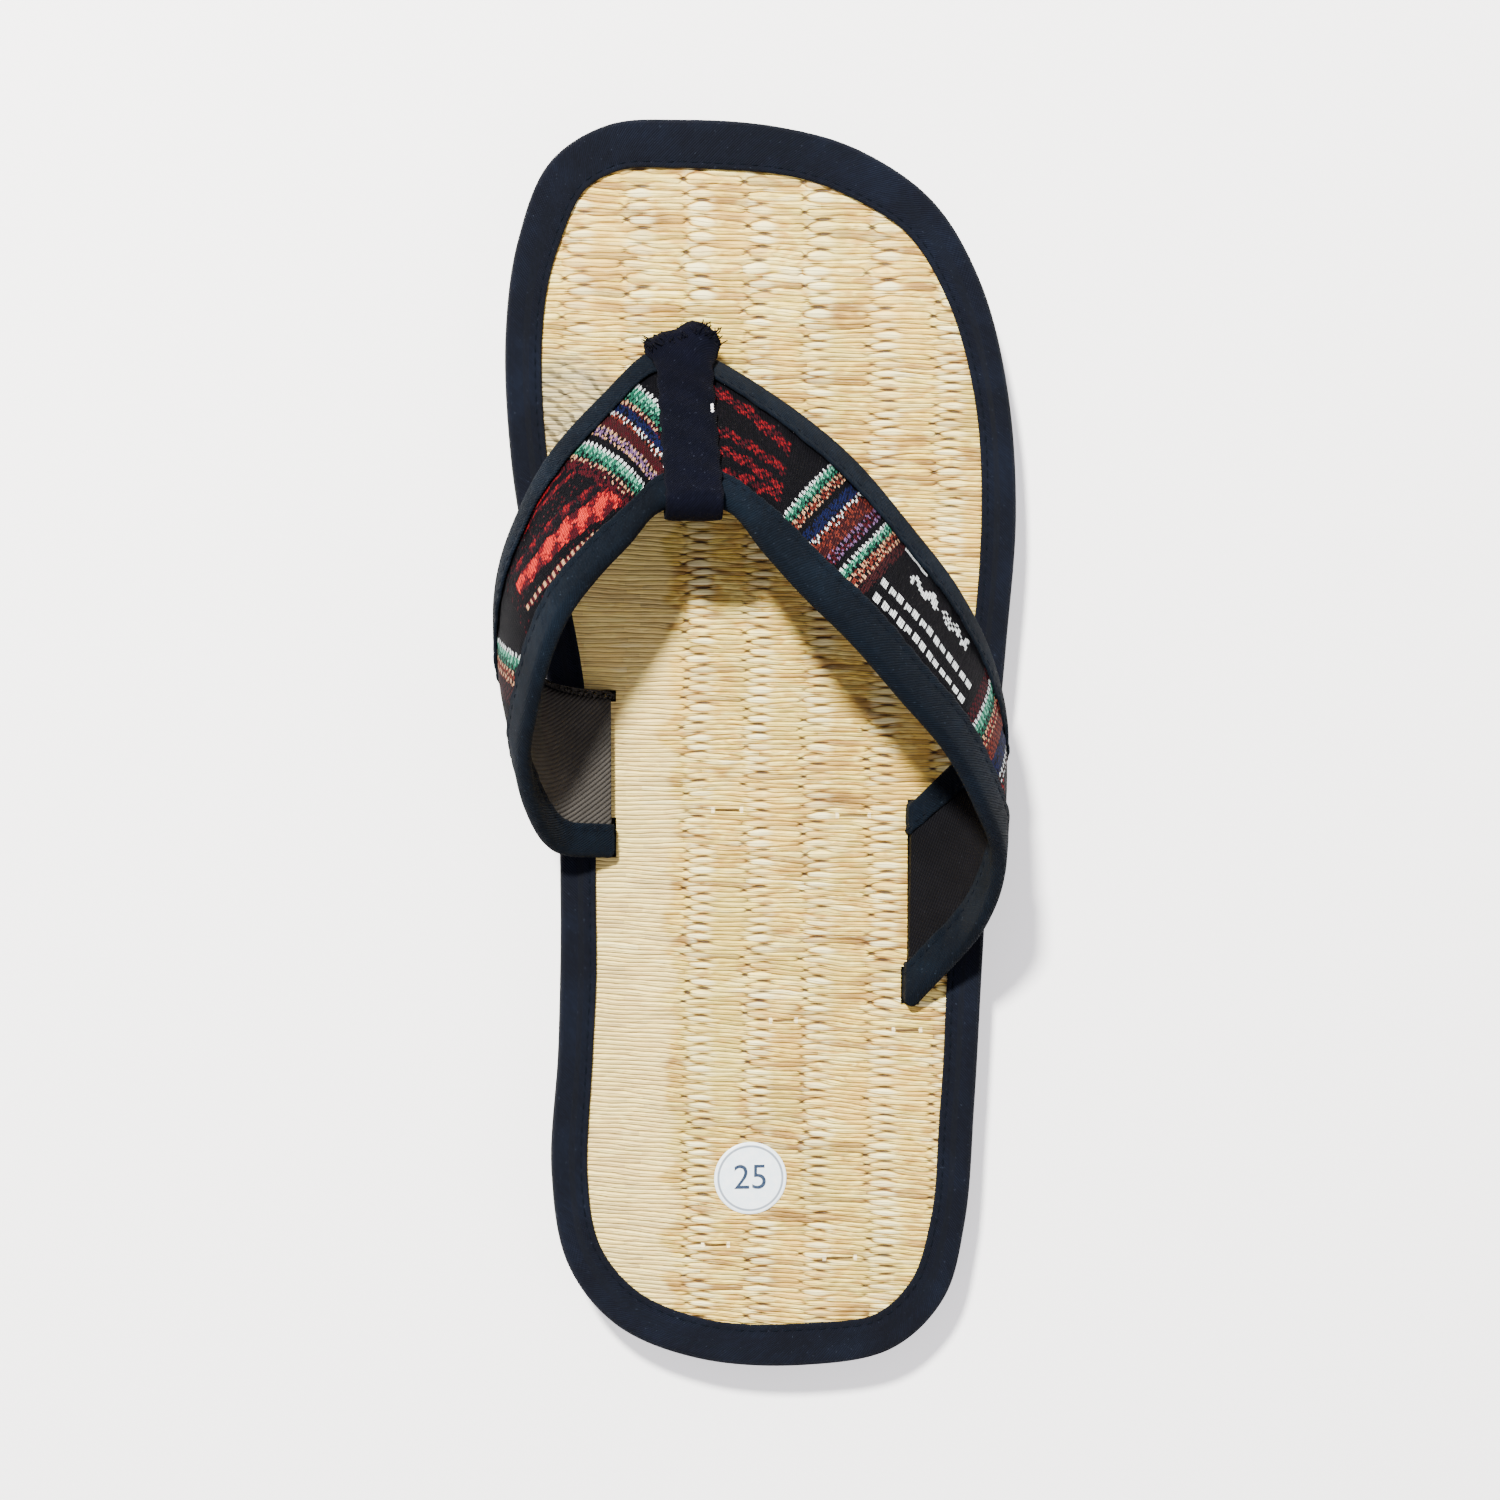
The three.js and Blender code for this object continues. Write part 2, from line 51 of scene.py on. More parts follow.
# outline from the toe tip round by the outer side: along, across, width of the tape there
outlineRows = [
    (0.500, -0.160, 1.34), (0.496, 0.024, 1.34), (0.479, 0.185, 1.30), (0.439, 0.334, 1.20),
    (0.376, 0.429, 1.08), (0.292, 0.484, 1.00), (0.192, 0.503, 1.00), (0.081, 0.492, 1.00),
    (-0.045, 0.505, 1.00), (-0.173, 0.524, 1.00), (-0.288, 0.508, 1.00), (-0.385, 0.486, 1.02),
    (-0.448, 0.435, 1.08), (-0.488, 0.311, 1.16), (-0.500, 0.097, 1.20), (-0.492, -0.158, 1.18),
    (-0.463, -0.350, 1.12), (-0.413, -0.463, 1.06), (-0.338, -0.501, 1.00), (-0.238, -0.484, 1.00),
    (-0.115, -0.464, 1.00), (0.008, -0.435, 1.00), (0.131, -0.455, 1.00), (0.231, -0.492, 1.00),
    (0.327, -0.502, 1.02), (0.404, -0.477, 1.12), (0.465, -0.415, 1.24), (0.495, -0.302, 1.32),
]

# edges of the strap from the inner root over the V to the outer one:
# front edge across, along, rise, then the rear edge
strapRows = [
    (-0.308, 0.048, 0.07, -0.308, -0.085, 0.07), (-0.370, 0.051, 0.13, -0.408, -0.078, 0.25),
    (-0.430, 0.057, 0.18, -0.458, -0.045, 0.50), (-0.500, 0.076, 0.24, -0.474, -0.002, 0.75),
    (-0.516, 0.111, 0.33, -0.459, 0.036, 0.91), (-0.507, 0.149, 0.39, -0.435, 0.073, 0.97),
    (-0.473, 0.189, 0.41, -0.397, 0.108, 0.97), (-0.419, 0.231, 0.39, -0.343, 0.136, 0.93),
    (-0.321, 0.277, 0.32, -0.280, 0.162, 0.85), (-0.222, 0.314, 0.21, -0.222, 0.187, 0.75),
    (-0.156, 0.315, 0.21, -0.156, 0.193, 0.75), (-0.088, 0.304, 0.21, -0.090, 0.187, 0.75),
    (0.041, 0.269, 0.32, -0.030, 0.156, 0.85), (0.150, 0.231, 0.40, 0.040, 0.123, 0.93),
    (0.261, 0.178, 0.42, 0.127, 0.088, 0.99), (0.352, 0.130, 0.41, 0.222, 0.044, 1.00),
    (0.421, 0.076, 0.35, 0.305, 0.006, 0.98), (0.452, 0.025, 0.27, 0.375, -0.041, 0.88),
    (0.443, 0.008, 0.20, 0.424, -0.084, 0.66), (0.382, -0.006, 0.14, 0.407, -0.144, 0.35),
    (0.300, -0.041, 0.07, 0.294, -0.207, 0.07),
]


# curves and meshes
def smoothCurve(points, shares, closed=False):
    pts = np.asarray(points, float)
    count = len(pts)
    out = []
    for share in shares:
        place = share * (count if closed else count - 1)
        i = int(math.floor(place))
        w = place - i
        if closed:
            p0, p1, p2, p3 = (pts[(i + k) % count] for k in (-1, 0, 1, 2))
        else:
            i = max(0, i)
            if i >= count - 1:
                i, w = count - 2, 1.0
            p1, p2 = pts[i], pts[i + 1]
            p0 = pts[i - 1] if i > 0 else 2 * pts[0] - pts[1]
            p3 = pts[i + 2] if i + 2 < count else 2 * pts[-1] - pts[-2]
        d0, d1, d2 = (max(1e-9, np.linalg.norm(b - a)) ** 0.5 for a, b in ((p0, p1), (p1, p2), (p2, p3)))
        t1 = ((p1 - p0) / d0 - (p2 - p0) / (d0 + d1) + (p2 - p1) / d1) * d1
        t2 = ((p2 - p1) / d1 - (p3 - p1) / (d1 + d2) + (p3 - p2) / d2) * d1
        out.append(p1 + t1 * w + (-3 * p1 + 3 * p2 - 2 * t1 - t2) * w * w
                   + (2 * p1 - 2 * p2 + t1 + t2) * w ** 3)
    return np.array(out)


def unit(v):
    return v / np.maximum(1e-9, np.linalg.norm(v, axis=-1, keepdims=True))


def smoothStep(x, low, high):
    t = np.clip((x - low) / (high - low), 0, 1)
    return t * t * (3 - 2 * t)


def ripple(x, seed, wave):
    # a smooth seeded wobble between -1 and 1
    rng = np.random.default_rng(seed)
    total = np.zeros_like(np.asarray(x, float))
    for _ in range(5):
        total = total + np.sin(2 * np.pi * x / (wave * rng.uniform(0.6, 1.9)) + rng.uniform(0, 6.28))
    return total / 3.2


def addObject(name, data):
    made = bpy.data.objects.new(name, data)
    bpy.context.scene.collection.objects.link(made)
    return made


def makePiece(name, points, faces, material, uv=None, smooth=True):
    # points come in millimetres; turnOutwards, called afterwards, turns closed skins outwards by their volume
    points = np.asarray(points, float) * mm
    faces = [list(f) for f in faces]
    mesh = bpy.data.meshes.new(name)
    mesh.from_pydata(points.tolist(), [], faces)
    if uv is not None:
        layer = mesh.uv_layers.new(name="UVMap")
        layer.data.foreach_set("uv", np.asarray(uv, np.float32).ravel())
    mesh.polygons.foreach_set("use_smooth", [smooth] * len(mesh.polygons))
    mesh.update()
    if material is not None:
        mesh.materials.append(material)
    return addObject(name, mesh)


def turnOutwards(piece):
    work = bmesh.new()
    work.from_mesh(piece.data)
    if work.calc_volume(signed=True) < 0:
        bmesh.ops.reverse_faces(work, faces=work.faces)
    work.to_mesh(piece.data)
    work.free()
    piece.data.update()


def ringFaces(spans, around, rings):
    # four-sided faces between neighbouring rings of points
    return [(i * around + k, i * around + (k + 1) % around,
             (i + 1) % rings * around + (k + 1) % around, (i + 1) % rings * around + k)
            for i in range(spans) for k in range(around)]


def sweep(name, rings, material, us, vs, closedPath=False):
    # skin over rings of section points; UV is distance along and distance round
    count, around, _ = rings.shape
    last = count if closedPath else count - 1
    faces = ringFaces(last, around, count)
    uv = [(us[i + a], vs[k + b]) for i in range(last) for k in range(around)
          for a, b in ((0, 0), (0, 1), (1, 1), (1, 0))]
    if not closedPath:
        for i, order in ((0, range(around - 1, -1, -1)), (count - 1, range(around))):
            faces.append([i * around + k for k in order])
            uv += [(us[i], vs[k]) for k in order]
    piece = makePiece(name, rings.reshape(-1, 3), faces, material, uv)
    turnOutwards(piece)
    return piece


def flatten(source, name, material):
    # evaluated mesh as a plain new piece; the source and its modifiers go
    graph = bpy.context.evaluated_depsgraph_get()
    mesh = bpy.data.meshes.new_from_object(source.evaluated_get(graph), depsgraph=graph)
    mesh.name = name
    bpy.data.objects.remove(source)
    mesh.materials.clear()
    mesh.materials.append(material)
    return addObject(name, mesh)


def creaseOver(work, degrees):
    # smooth all over, but for edges that turn by more than this
    for face in work.faces:
        face.smooth = True
    for edge in work.edges:
        if len(edge.link_faces) == 2 and edge.calc_face_angle(0) > math.radians(degrees):
            edge.smooth = False


def growNodes(source, tree, **values):
    # Geometry Nodes on a piece, with its group's inputs by name
    grow = source.modifiers.new(tree.name, "NODES")
    grow.node_group = tree
    for item in tree.interface.items_tree:
        key = item.name.replace(" ", "")
        if item.in_out == "INPUT" and key in values:
            grow[item.identifier] = values[key]
    return source


def makePath(name, lines, closed=False):
    # edges through rows of points, for threads to run along
    points, edges = [], []
    for line in lines:
        first = len(points)
        points += [tuple(np.asarray(p) * mm) for p in line]
        edges += [(first + k, first + k + 1) for k in range(len(line) - 1)]
        if closed:
            edges.append((len(points) - 1, first))
    mesh = bpy.data.meshes.new(name)
    mesh.from_pydata(points, edges, [])
    return addObject(name, mesh)


def outlineLine(count):
    growth = shoe["ballWidth"] - shoe["heelWidth"]
    width = [shoe["heelWidth"] + growth * float(smoothStep(row[0], shoe["waistRear"], shoe["waistFront"]))
             for row in outlineRows]
    pts = [(across * w, along * shoe["length"], tape * matTape["width"])
           for (along, across, tape), w in zip(outlineRows, width)]
    shares = np.arange(count) / count
    line = smoothCurve(pts, shares, True)
    way = unit((smoothCurve(pts, shares + 1e-4, True) - smoothCurve(pts, shares - 1e-4, True))[:, :2])
    line[:, 0] += shoe["middleShift"]
    return line[:, :2], np.column_stack([way[:, 1], -way[:, 0]]), line[:, 2]


def lengths(line, closed=False):
    steps = np.linalg.norm(np.diff(line, axis=0), axis=1)
    out = np.concatenate([[0], np.cumsum(steps)])
    if closed:
        out = np.append(out, out[-1] + np.linalg.norm(line[0] - line[-1]))
    return out


# node helpers
def addNode(tree, kind, **settings):
    node = tree.nodes.new(kind)
    for key, value in settings.items():
        setattr(node, key, value)
    return node


class NodeValue:
    # a value inside a node tree: each + - * / makes one Math node
    def __init__(self, tree, socket):
        self.tree, self.socket = tree, socket

    def __add__(self, other):
        return maths(self.tree, "ADD", self, other)

    def __radd__(self, other):
        return maths(self.tree, "ADD", other, self)

    def __sub__(self, other):
        return maths(self.tree, "SUBTRACT", self, other)

    def __rsub__(self, other):
        return maths(self.tree, "SUBTRACT", other, self)

    def __mul__(self, other):
        return maths(self.tree, "MULTIPLY", self, other)

    def __truediv__(self, other):
        return maths(self.tree, "DIVIDE", self, other)


def plug(tree, target, value):
    if isinstance(value, NodeValue):
        value = value.socket
    if hasattr(value, "is_linked"):
        tree.links.new(value, target)
    elif value is not None:
        target.default_value = value


def maths(tree, operation, *values):
    node = addNode(tree, "ShaderNodeMath", operation=operation)
    for socket, value in zip(node.inputs, values):
        plug(tree, socket, value)
    return NodeValue(tree, node.outputs[0])


def splitVector(tree, vector):
    node = addNode(tree, "ShaderNodeSeparateXYZ")
    plug(tree, node.inputs[0], vector)
    return [NodeValue(tree, socket) for socket in node.outputs]


def joinVector(tree, *values):
    node = addNode(tree, "ShaderNodeCombineXYZ")
    for socket, value in zip(node.inputs, values):
        plug(tree, socket, value)
    return node.outputs[0]


def noiseAt(tree, vector, scale, detail=3.0, roughness=0.55):
    node = addNode(tree, "ShaderNodeTexNoise", noise_dimensions="3D")
    plug(tree, node.inputs["Vector"], vector)
    plug(tree, node.inputs["Scale"], scale)
    plug(tree, node.inputs["Detail"], detail)
    plug(tree, node.inputs["Roughness"], roughness)
    return NodeValue(tree, node.outputs[0])


def whiteAt(tree, *values):
    plain = addNode(tree, "ShaderNodeTexWhiteNoise", noise_dimensions="3D")
    plug(tree, plain.inputs["Vector"], joinVector(tree, *values))
    return NodeValue(tree, plain.outputs["Value"])


def spread(tree, value, low, high, toLow=0.0, toHigh=1.0, smooth=True):
    node = addNode(tree, "ShaderNodeMapRange", interpolation_type="SMOOTHSTEP" if smooth else "LINEAR")
    plug(tree, node.inputs["Value"], value)
    plug(tree, node.inputs["From Min"], low)
    plug(tree, node.inputs["From Max"], high)
    plug(tree, node.inputs["To Min"], toLow)
    plug(tree, node.inputs["To Max"], toHigh)
    return NodeValue(tree, node.outputs["Result"])


def blendColour(tree, factor, a, b, mode="MIX"):
    node = addNode(tree, "ShaderNodeMix", data_type="RGBA", blend_type=mode)
    plug(tree, node.inputs["Factor"], factor)
    plug(tree, [s for s in node.inputs if s.name == "A" and s.type == "RGBA"][0], a)
    plug(tree, [s for s in node.inputs if s.name == "B" and s.type == "RGBA"][0], b)
    return [s for s in node.outputs if s.type == "RGBA"][0]


def inks(red, green, blue):
    # screen colour 0-255 to linear
    out = []
    for value in (red, green, blue):
        v = value / 255
        out.append(v / 12.92 if v <= 0.04045 else ((v + 0.055) / 1.055) ** 2.4)
    return (*out, 1.0)


def newGroup(name, kind, inputs, outputs):
    tree = bpy.data.node_groups.new(name, kind)
    for label, socket, value in inputs:
        made = tree.interface.new_socket(name=label, in_out="INPUT", socket_type="NodeSocket" + socket)
        if value is not None:
            made.default_value = value
    for label, socket in outputs:
        tree.interface.new_socket(name=label, in_out="OUTPUT", socket_type="NodeSocket" + socket)
    return tree, addNode(tree, "NodeGroupInput"), addNode(tree, "NodeGroupOutput")


def finishGroup(tree, into, out, last, between=()):
    # real geometry with the group's material
    for kind in ("GeometryNodeRealizeInstances", *between, "GeometryNodeSetMaterial"):
        node = addNode(tree, kind)
        plug(tree, node.inputs["Geometry"], last.outputs[0])
        last = node
    plug(tree, last.inputs["Material"], into.outputs["Material"])
    plug(tree, out.inputs[0], last.outputs[0])
    return tree


def useGroup(tree, group, **values):
    node = addNode(tree, "ShaderNodeGroup", node_tree=group)
    for key, value in values.items():
        plug(tree, node.inputs[key], value)
    return node


def newMaterial(name):
    material = bpy.data.materials.new(name)
    material.use_nodes = True
    tree = material.node_tree
    shader = [n for n in tree.nodes if n.type == "BSDF_PRINCIPLED"][0]
    place = addNode(tree, "ShaderNodeTexCoord")
    return material, tree, shader, place


def finishMaterial(tree, shader, colour, roughness, shine, normal):
    for key, value in (("Base Color", colour), ("Roughness", roughness),
                       ("Specular IOR Level", shine), ("Normal", normal)):
        plug(tree, shader.inputs[key], value)


def bumpFrom(tree, height, distance, strength=1.0):
    node = addNode(tree, "ShaderNodeBump")
    plug(tree, node.inputs["Strength"], strength)
    plug(tree, node.inputs["Distance"], distance)
    plug(tree, node.inputs["Height"], height)
    return node.outputs["Normal"]


# shared surface effects
def makeTwillGroup():
    # fine diagonal weave of the tapes, along and across in metres
    tree, into, out = newGroup("twillWeave", "ShaderNodeTree",
                               [("Along", "Float", 0.0), ("Across", "Float", 0.0),
                                ("Pitch", "Float", 0.0006)],
                               [("Height", "Float"), ("Thread", "Float")])
    along, across, pitch = (NodeValue(tree, into.outputs[key]) for key in ("Along", "Across", "Pitch"))
    diagonal = (along + across) / pitch
    rib = maths(tree, "ABSOLUTE", maths(tree, "SINE", diagonal * math.pi))
    cross = (across - along) / pitch
    fine = maths(tree, "ABSOLUTE", maths(tree, "SINE", cross * (math.pi * 1.6)))
    height = rib + fine * 0.35
    plug(tree, out.inputs["Height"], height)
    white = addNode(tree, "ShaderNodeTexWhiteNoise", noise_dimensions="2D")
    cell = joinVector(tree, maths(tree, "FLOOR", diagonal), maths(tree, "FLOOR", cross * 0.3))
    plug(tree, white.inputs["Vector"], cell)
    plug(tree, out.inputs["Thread"], white.outputs["Value"])
    return tree


def makeWearGroup():
    # dust and rubbed patches: noise at two scales plus lint specks
    tree, into, out = newGroup("handlingWear", "ShaderNodeTree",
                               [("Vector", "Vector", None), ("Patch Scale", "Float", 60.0),
                                ("Speck Scale", "Float", 1500.0)],
                               [("Patches", "Float"), ("Specks", "Float")])
    vector = into.outputs["Vector"]
    patches = noiseAt(tree, vector, into.outputs["Patch Scale"], 4.0, 0.6)
    plug(tree, out.inputs["Patches"], spread(tree, patches, 0.38, 0.68))
    specks = noiseAt(tree, vector, into.outputs["Speck Scale"], 2.0, 0.5)
    plug(tree, out.inputs["Specks"], spread(tree, specks, 0.66, 0.78))
    return tree


twillGroup = makeTwillGroup()
wearGroup = makeWearGroup()


# tape finish, used on mat edge, strap edges and toe tab
def makeTapeMaterial(name, deep, worn, lint, shine, pitch=0.00062, bump=0.00012):
    material, tree, shader, place = newMaterial(name)
    along, across, _ = splitVector(tree, place.outputs["UV"])
    twill = useGroup(tree, twillGroup, Along=along, Across=across, Pitch=pitch)
    wear = useGroup(tree, wearGroup, Vector=place.outputs["Object"])
    colour = blendColour(tree, NodeValue(tree, wear.outputs["Patches"]) * 0.55, inks(*deep), inks(*worn))
    thread = spread(tree, twill.outputs["Thread"], 0.0, 1.0, 0.82, 1.12, False)
    shade = addNode(tree, "ShaderNodeCombineColor")
    for socket in shade.inputs:
        plug(tree, socket, thread)
    colour = blendColour(tree, 1.0, colour, shade.outputs[0], "MULTIPLY")
    # painted shade: the twill's low parts take a darker copy of the deep ink
    valley = spread(tree, twill.outputs["Height"], 0.0, 0.9, 0.6, 0.0)
    colour = blendColour(tree, valley, colour, inks(*[v * 0.45 for v in deep]))
    colour = blendColour(tree, NodeValue(tree, wear.outputs["Specks"]) * 0.3, colour, inks(*lint))
    fuzz = noiseAt(tree, place.outputs["Object"], 900.0, 3.0)
    height = NodeValue(tree, twill.outputs["Height"]) + fuzz * 0.8
    finishMaterial(tree, shader, colour, 0.88, shine, bumpFrom(tree, height, bump))
    shader.inputs["Sheen Weight"].default_value = shine / 4
    shader.inputs["Sheen Roughness"].default_value = 0.5
    return material


# deep ink, worn ink, lint
matTapeMaterial = makeTapeMaterial("matTapeCotton", (7, 10, 19), (13, 19, 32), (58, 66, 80), 0.08)
strapTapeMaterial = makeTapeMaterial("strapTapeCotton", (6, 11, 18), (12, 21, 31), (50, 60, 72), 0.04)
tabMaterial = makeTapeMaterial("tabCotton", (4, 5, 13), (8, 9, 21), (48, 52, 66), 0.03, 0.00055, 0.0001)


# outsole
outsole = {
    "setBack": 0.6, "pitch": 8.5, "waveLength": 28.7, "waveHeight": 10.9, "crestX": 11.4,
    "stepX": 1.5, "outlineSteps": 336, "edgeRound": 0.35, "creaseOver": 38.0,
    # distance from the groove's middle and height over the floor
    "profile": ((0, 2.8), (0.5, 2.35), (1.1, 0.9), (1.5, 0.55),
                (1.9, 0.75), (2.6, 0.25), (3.5, 0.03), (4.25, 0)),
    "acrossFrom": -60.0, "acrossTo": 62.01, "ribs": range(-17, 18), "cutBelow": 3.0, "lidOver": 6.0,
}


def makeOutsoleMaterial():
    material, tree, shader, place = newMaterial("foamRubber")
    wear = useGroup(tree, wearGroup, Vector=place.outputs["Object"])
    fine = noiseAt(tree, place.outputs["Object"], 2600.0, 3.0, 0.6)
    cloud = noiseAt(tree, place.outputs["Object"], 45.0, 3.0)
    colour = blendColour(tree, spread(tree, cloud, 0.35, 0.7), inks(12, 14, 19), inks(19, 22, 29))
    colour = blendColour(tree, spread(tree, fine, 0.5, 0.8, 0.0, 0.4), colour, inks(25, 28, 36))
    colour = blendColour(tree, NodeValue(tree, wear.outputs["Specks"]) * 0.2, colour, inks(96, 98, 102))
    height = fine + noiseAt(tree, place.outputs["Object"], 420.0, 2.0) * 0.9
    finishMaterial(tree, shader, colour, spread(tree, cloud, 0.3, 0.7, 0.5, 0.66), 0.2,
                   bumpFrom(tree, height, 0.00018, 0.8))
    return material


def makeOutsole():
    o = outsole
    groove = [(-y, z) for y, z in reversed(o["profile"][1:])] + list(o["profile"][:-1])
    across = np.arange(o["acrossFrom"], o["acrossTo"], o["stepX"])
    ys = np.array([rib * o["pitch"] + y for rib in o["ribs"] for y, _ in groove])
    zs = np.array([z for _ in o["ribs"] for _, z in groove])
    swing = o["waveHeight"] / 2 * np.cos(2 * np.pi * (across - o["crestX"]) / o["waveLength"])
    count, lines = len(across), len(ys)
    grid = np.zeros((count, lines, 3))
    grid[:, :, 0] = across[:, None] + shoe["middleShift"]
    grid[:, :, 1] = ys[None, :] + swing[:, None]
    grid[:, :, 2] = zs[None, :]
    points = list(grid.reshape(-1, 3))
    faces = [(i * lines + k, (i + 1) * lines + k, (i + 1) * lines + k + 1, i * lines + k + 1)
             for i in range(count - 1) for k in range(lines - 1)]
    # a lid well above, so that the block closes
    lid = len(points)
    rim = [i * lines for i in range(count)] + [(count - 1) * lines + k for k in range(1, lines)]
    rim += [i * lines + lines - 1 for i in range(count - 2, -1, -1)] + list(range(lines - 2, 0, -1))
    points += [np.array([*points[v][:2], shoe["soleThickness"] + o["lidOver"]]) for v in rim]
    for n in range(len(rim)):
        m = (n + 1) % len(rim)
        faces.append((rim[m], rim[n], lid + n, lid + m))
    faces.append([lid + n for n in range(len(rim) - 1, -1, -1)])
    tread = makePiece("outsoleTread", points, faces, None)
    turnOutwards(tread)
    line, inward, _ = outlineLine(o["outlineSteps"])
    ring = line + inward * o["setBack"]
    inner = line + inward * (o["setBack"] + o["edgeRound"])
    top = shoe["soleThickness"]
    layers = [(ring, -o["cutBelow"]), (ring, top - o["edgeRound"]), (inner, top)]
    cut = [(x, y, z) for base, z in layers for x, y in base]
    n = len(ring)
    cutFaces = [[k for k in range(n)], [2 * n + k for k in range(n - 1, -1, -1)]]
    cutFaces += [(a, d, c, b) for a, b, c, d in ringFaces(2, n, 3)]
    cutter = makePiece("outsoleCutter", cut, cutFaces, None)
    turnOutwards(cutter)
    trim = tread.modifiers.new("trim", "BOOLEAN")
    trim.operation = "INTERSECT"
    trim.solver = "MANIFOLD"
    trim.object = cutter
    flat = flatten(tread, "outsoleFoam", makeOutsoleMaterial())
    bpy.data.objects.remove(cutter)
    work = bmesh.new()
    work.from_mesh(flat.data)
    creaseOver(work, o["creaseOver"])
    work.to_mesh(flat.data)
    work.free()
    return flat


matTape = {"width": 7.4, "wall": 0.9, "stations": 448, "stitchInset": 1.3}

outsolePiece = makeOutsole()
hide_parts("outsole")
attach(outsolePiece, "root")
print("slipper: outsole", len(outsolePiece.data.polygons))


# rush mat
rushMat = {
    "pairPitch": 2.0, "coarseFrom": 90.0, "coarser": 0.165,
    "columns": (-61.5, -49.0, -36.5, -24.2, -11.6, 1.0, 13.1, 27.3, 41.0, 54.0, 67.0),
    "dotSide": -3.1, "dotLength": 0.7, "slitSide": 0.4, "slitLength": 1.7, "pinch": 0.34, "slope": 0.09,
    "jog": 1.5, "warpPitch": 12.9,
    "stepX": 1.3, "stepY": 0.27, "relief": 0.34, "waver": 0.62, "setBack": 1.6, "plainEdge": -17.5,
    "outlineSteps": 336, "creaseOver": 50.0, "rubbed": (-39.0, 70.0),
    # mends: across, along, half their length
    "mends": ((-5.8, -12.5, 3.0), (20.7, -13.8, 3.4), (6.0, -56.8, 2.7),
              (32.2, -59.2, 2.9), (-8.3, -104.0, 2.7), (18.0, -107.3, 3.3)),
}


def rushField(tree, vector):
    # strands lie across the foot in pairs; at each warp one of them dips at a dot, the other at a long slit
    r = rushMat
    x, y, _ = splitVector(tree, vector)
    x, y = x * (1 / mm), y * (1 / mm)
    drift = noiseAt(tree, joinVector(tree, x * 0.045, y * 0.16), 1.0, 2.0) - 0.5
    place = y + drift * (r["waver"] * 4)
    # strands run aslant at the heel, and thicker at the toe
    place = place + spread(tree, y, 0.0, -70.0, 0.02, r["slope"]) * x
    beyond = maths(tree, "MAXIMUM", place - r["coarseFrom"], 0.0)
    pair = place / r["pairPitch"] - beyond * r["coarser"]
    # each pair meets the warp a little to one side
    jogged = x + (whiteAt(tree, maths(tree, "FLOOR", pair), 1.0) - 0.5) * r["jog"]
    column = None
    for low, high in zip(r["columns"], r["columns"][1:]):
        step = spread(tree, jogged, low, high, smooth=False)
        column = step if column is None else column + step
    fromWarp = (column - maths(tree, "ROUND", column)) * r["warpPitch"]
    # the inner side's fine rush shows no warps behind the ball
    ragged = jogged + drift * 16.0
    outerSide = spread(tree, ragged, r["plainEdge"] - 3.5, r["plainEdge"] + 2.5, 0.12, 1.0)
    woven = maths(tree, "MAXIMUM", outerSide, spread(tree, y, 35.0, 62.0, 0.0, 0.9))

    def dip(side, length):
        d = (fromWarp - side) / length
        return maths(tree, "EXPONENT", d * d * -1.0) * woven

    # no two dips are alike
    warp = maths(tree, "ROUND", column)
    loose = whiteAt(tree, maths(tree, "FLOOR", pair), warp, 2.0)
    tight = whiteAt(tree, maths(tree, "FLOOR", pair - 0.25), warp, 4.0)
    dipEven = dip(r["dotSide"], r["dotLength"]) * spread(tree, loose, 0.0, 1.0, 0.15, 1.0, False)
    dipOdd = dip(r["slitSide"], r["slitLength"]) * spread(tree, tight, 0.0, 1.0, 0.3, 1.0, False)
    shift = (dipEven - dipOdd) * (r["pinch"] * 0.5)
    q = maths(tree, "FRACT", pair)
    fromEven = q - 0.25
    even = fromEven / (0.25 - shift)
    fromOdd = maths(tree, "FRACT", q + 0.75) - 0.5
    odd = fromOdd / (0.25 + shift)

    def dome(e):
        return maths(tree, "SQRT", maths(tree, "MAXIMUM", 1.0 - e * e, 0.0))

    heightEven = dome(even) - dipEven * 0.9 + dipOdd * 0.3
    heightOdd = dome(odd) - dipOdd * 0.9 + dipEven * 0.2
    height = maths(tree, "MAXIMUM", heightEven, heightOdd)
    isOdd = maths(tree, "GREATER_THAN", heightOdd, heightEven)
    # openings, lens shaped, painted dark as shade
    lensOdd = maths(tree, "ABSOLUTE", fromOdd) - dipOdd * 0.125
    lensEven = maths(tree, "ABSOLUTE", fromEven) - dipEven * 0.12
    slit = spread(tree, maths(tree, "MINIMUM", lensOdd, lensEven), 0.05, -0.06)
    # the strand's own number: pairs counted, odd strands one half later
    evenIndex = maths(tree, "FLOOR", pair) * 2.0
    oddIndex = maths(tree, "FLOOR", pair - 0.25) * 2.0 + 1.0
    index = evenIndex * (1.0 - isOdd) + oddIndex * isOdd
    stretch = maths(tree, "FLOOR", column + (0.24 - isOdd * 0.27))
    return {"height": height, "index": index, "stretch": stretch, "fromWarp": fromWarp, "woven": woven,
            "slit": slit, "x": x, "y": y}


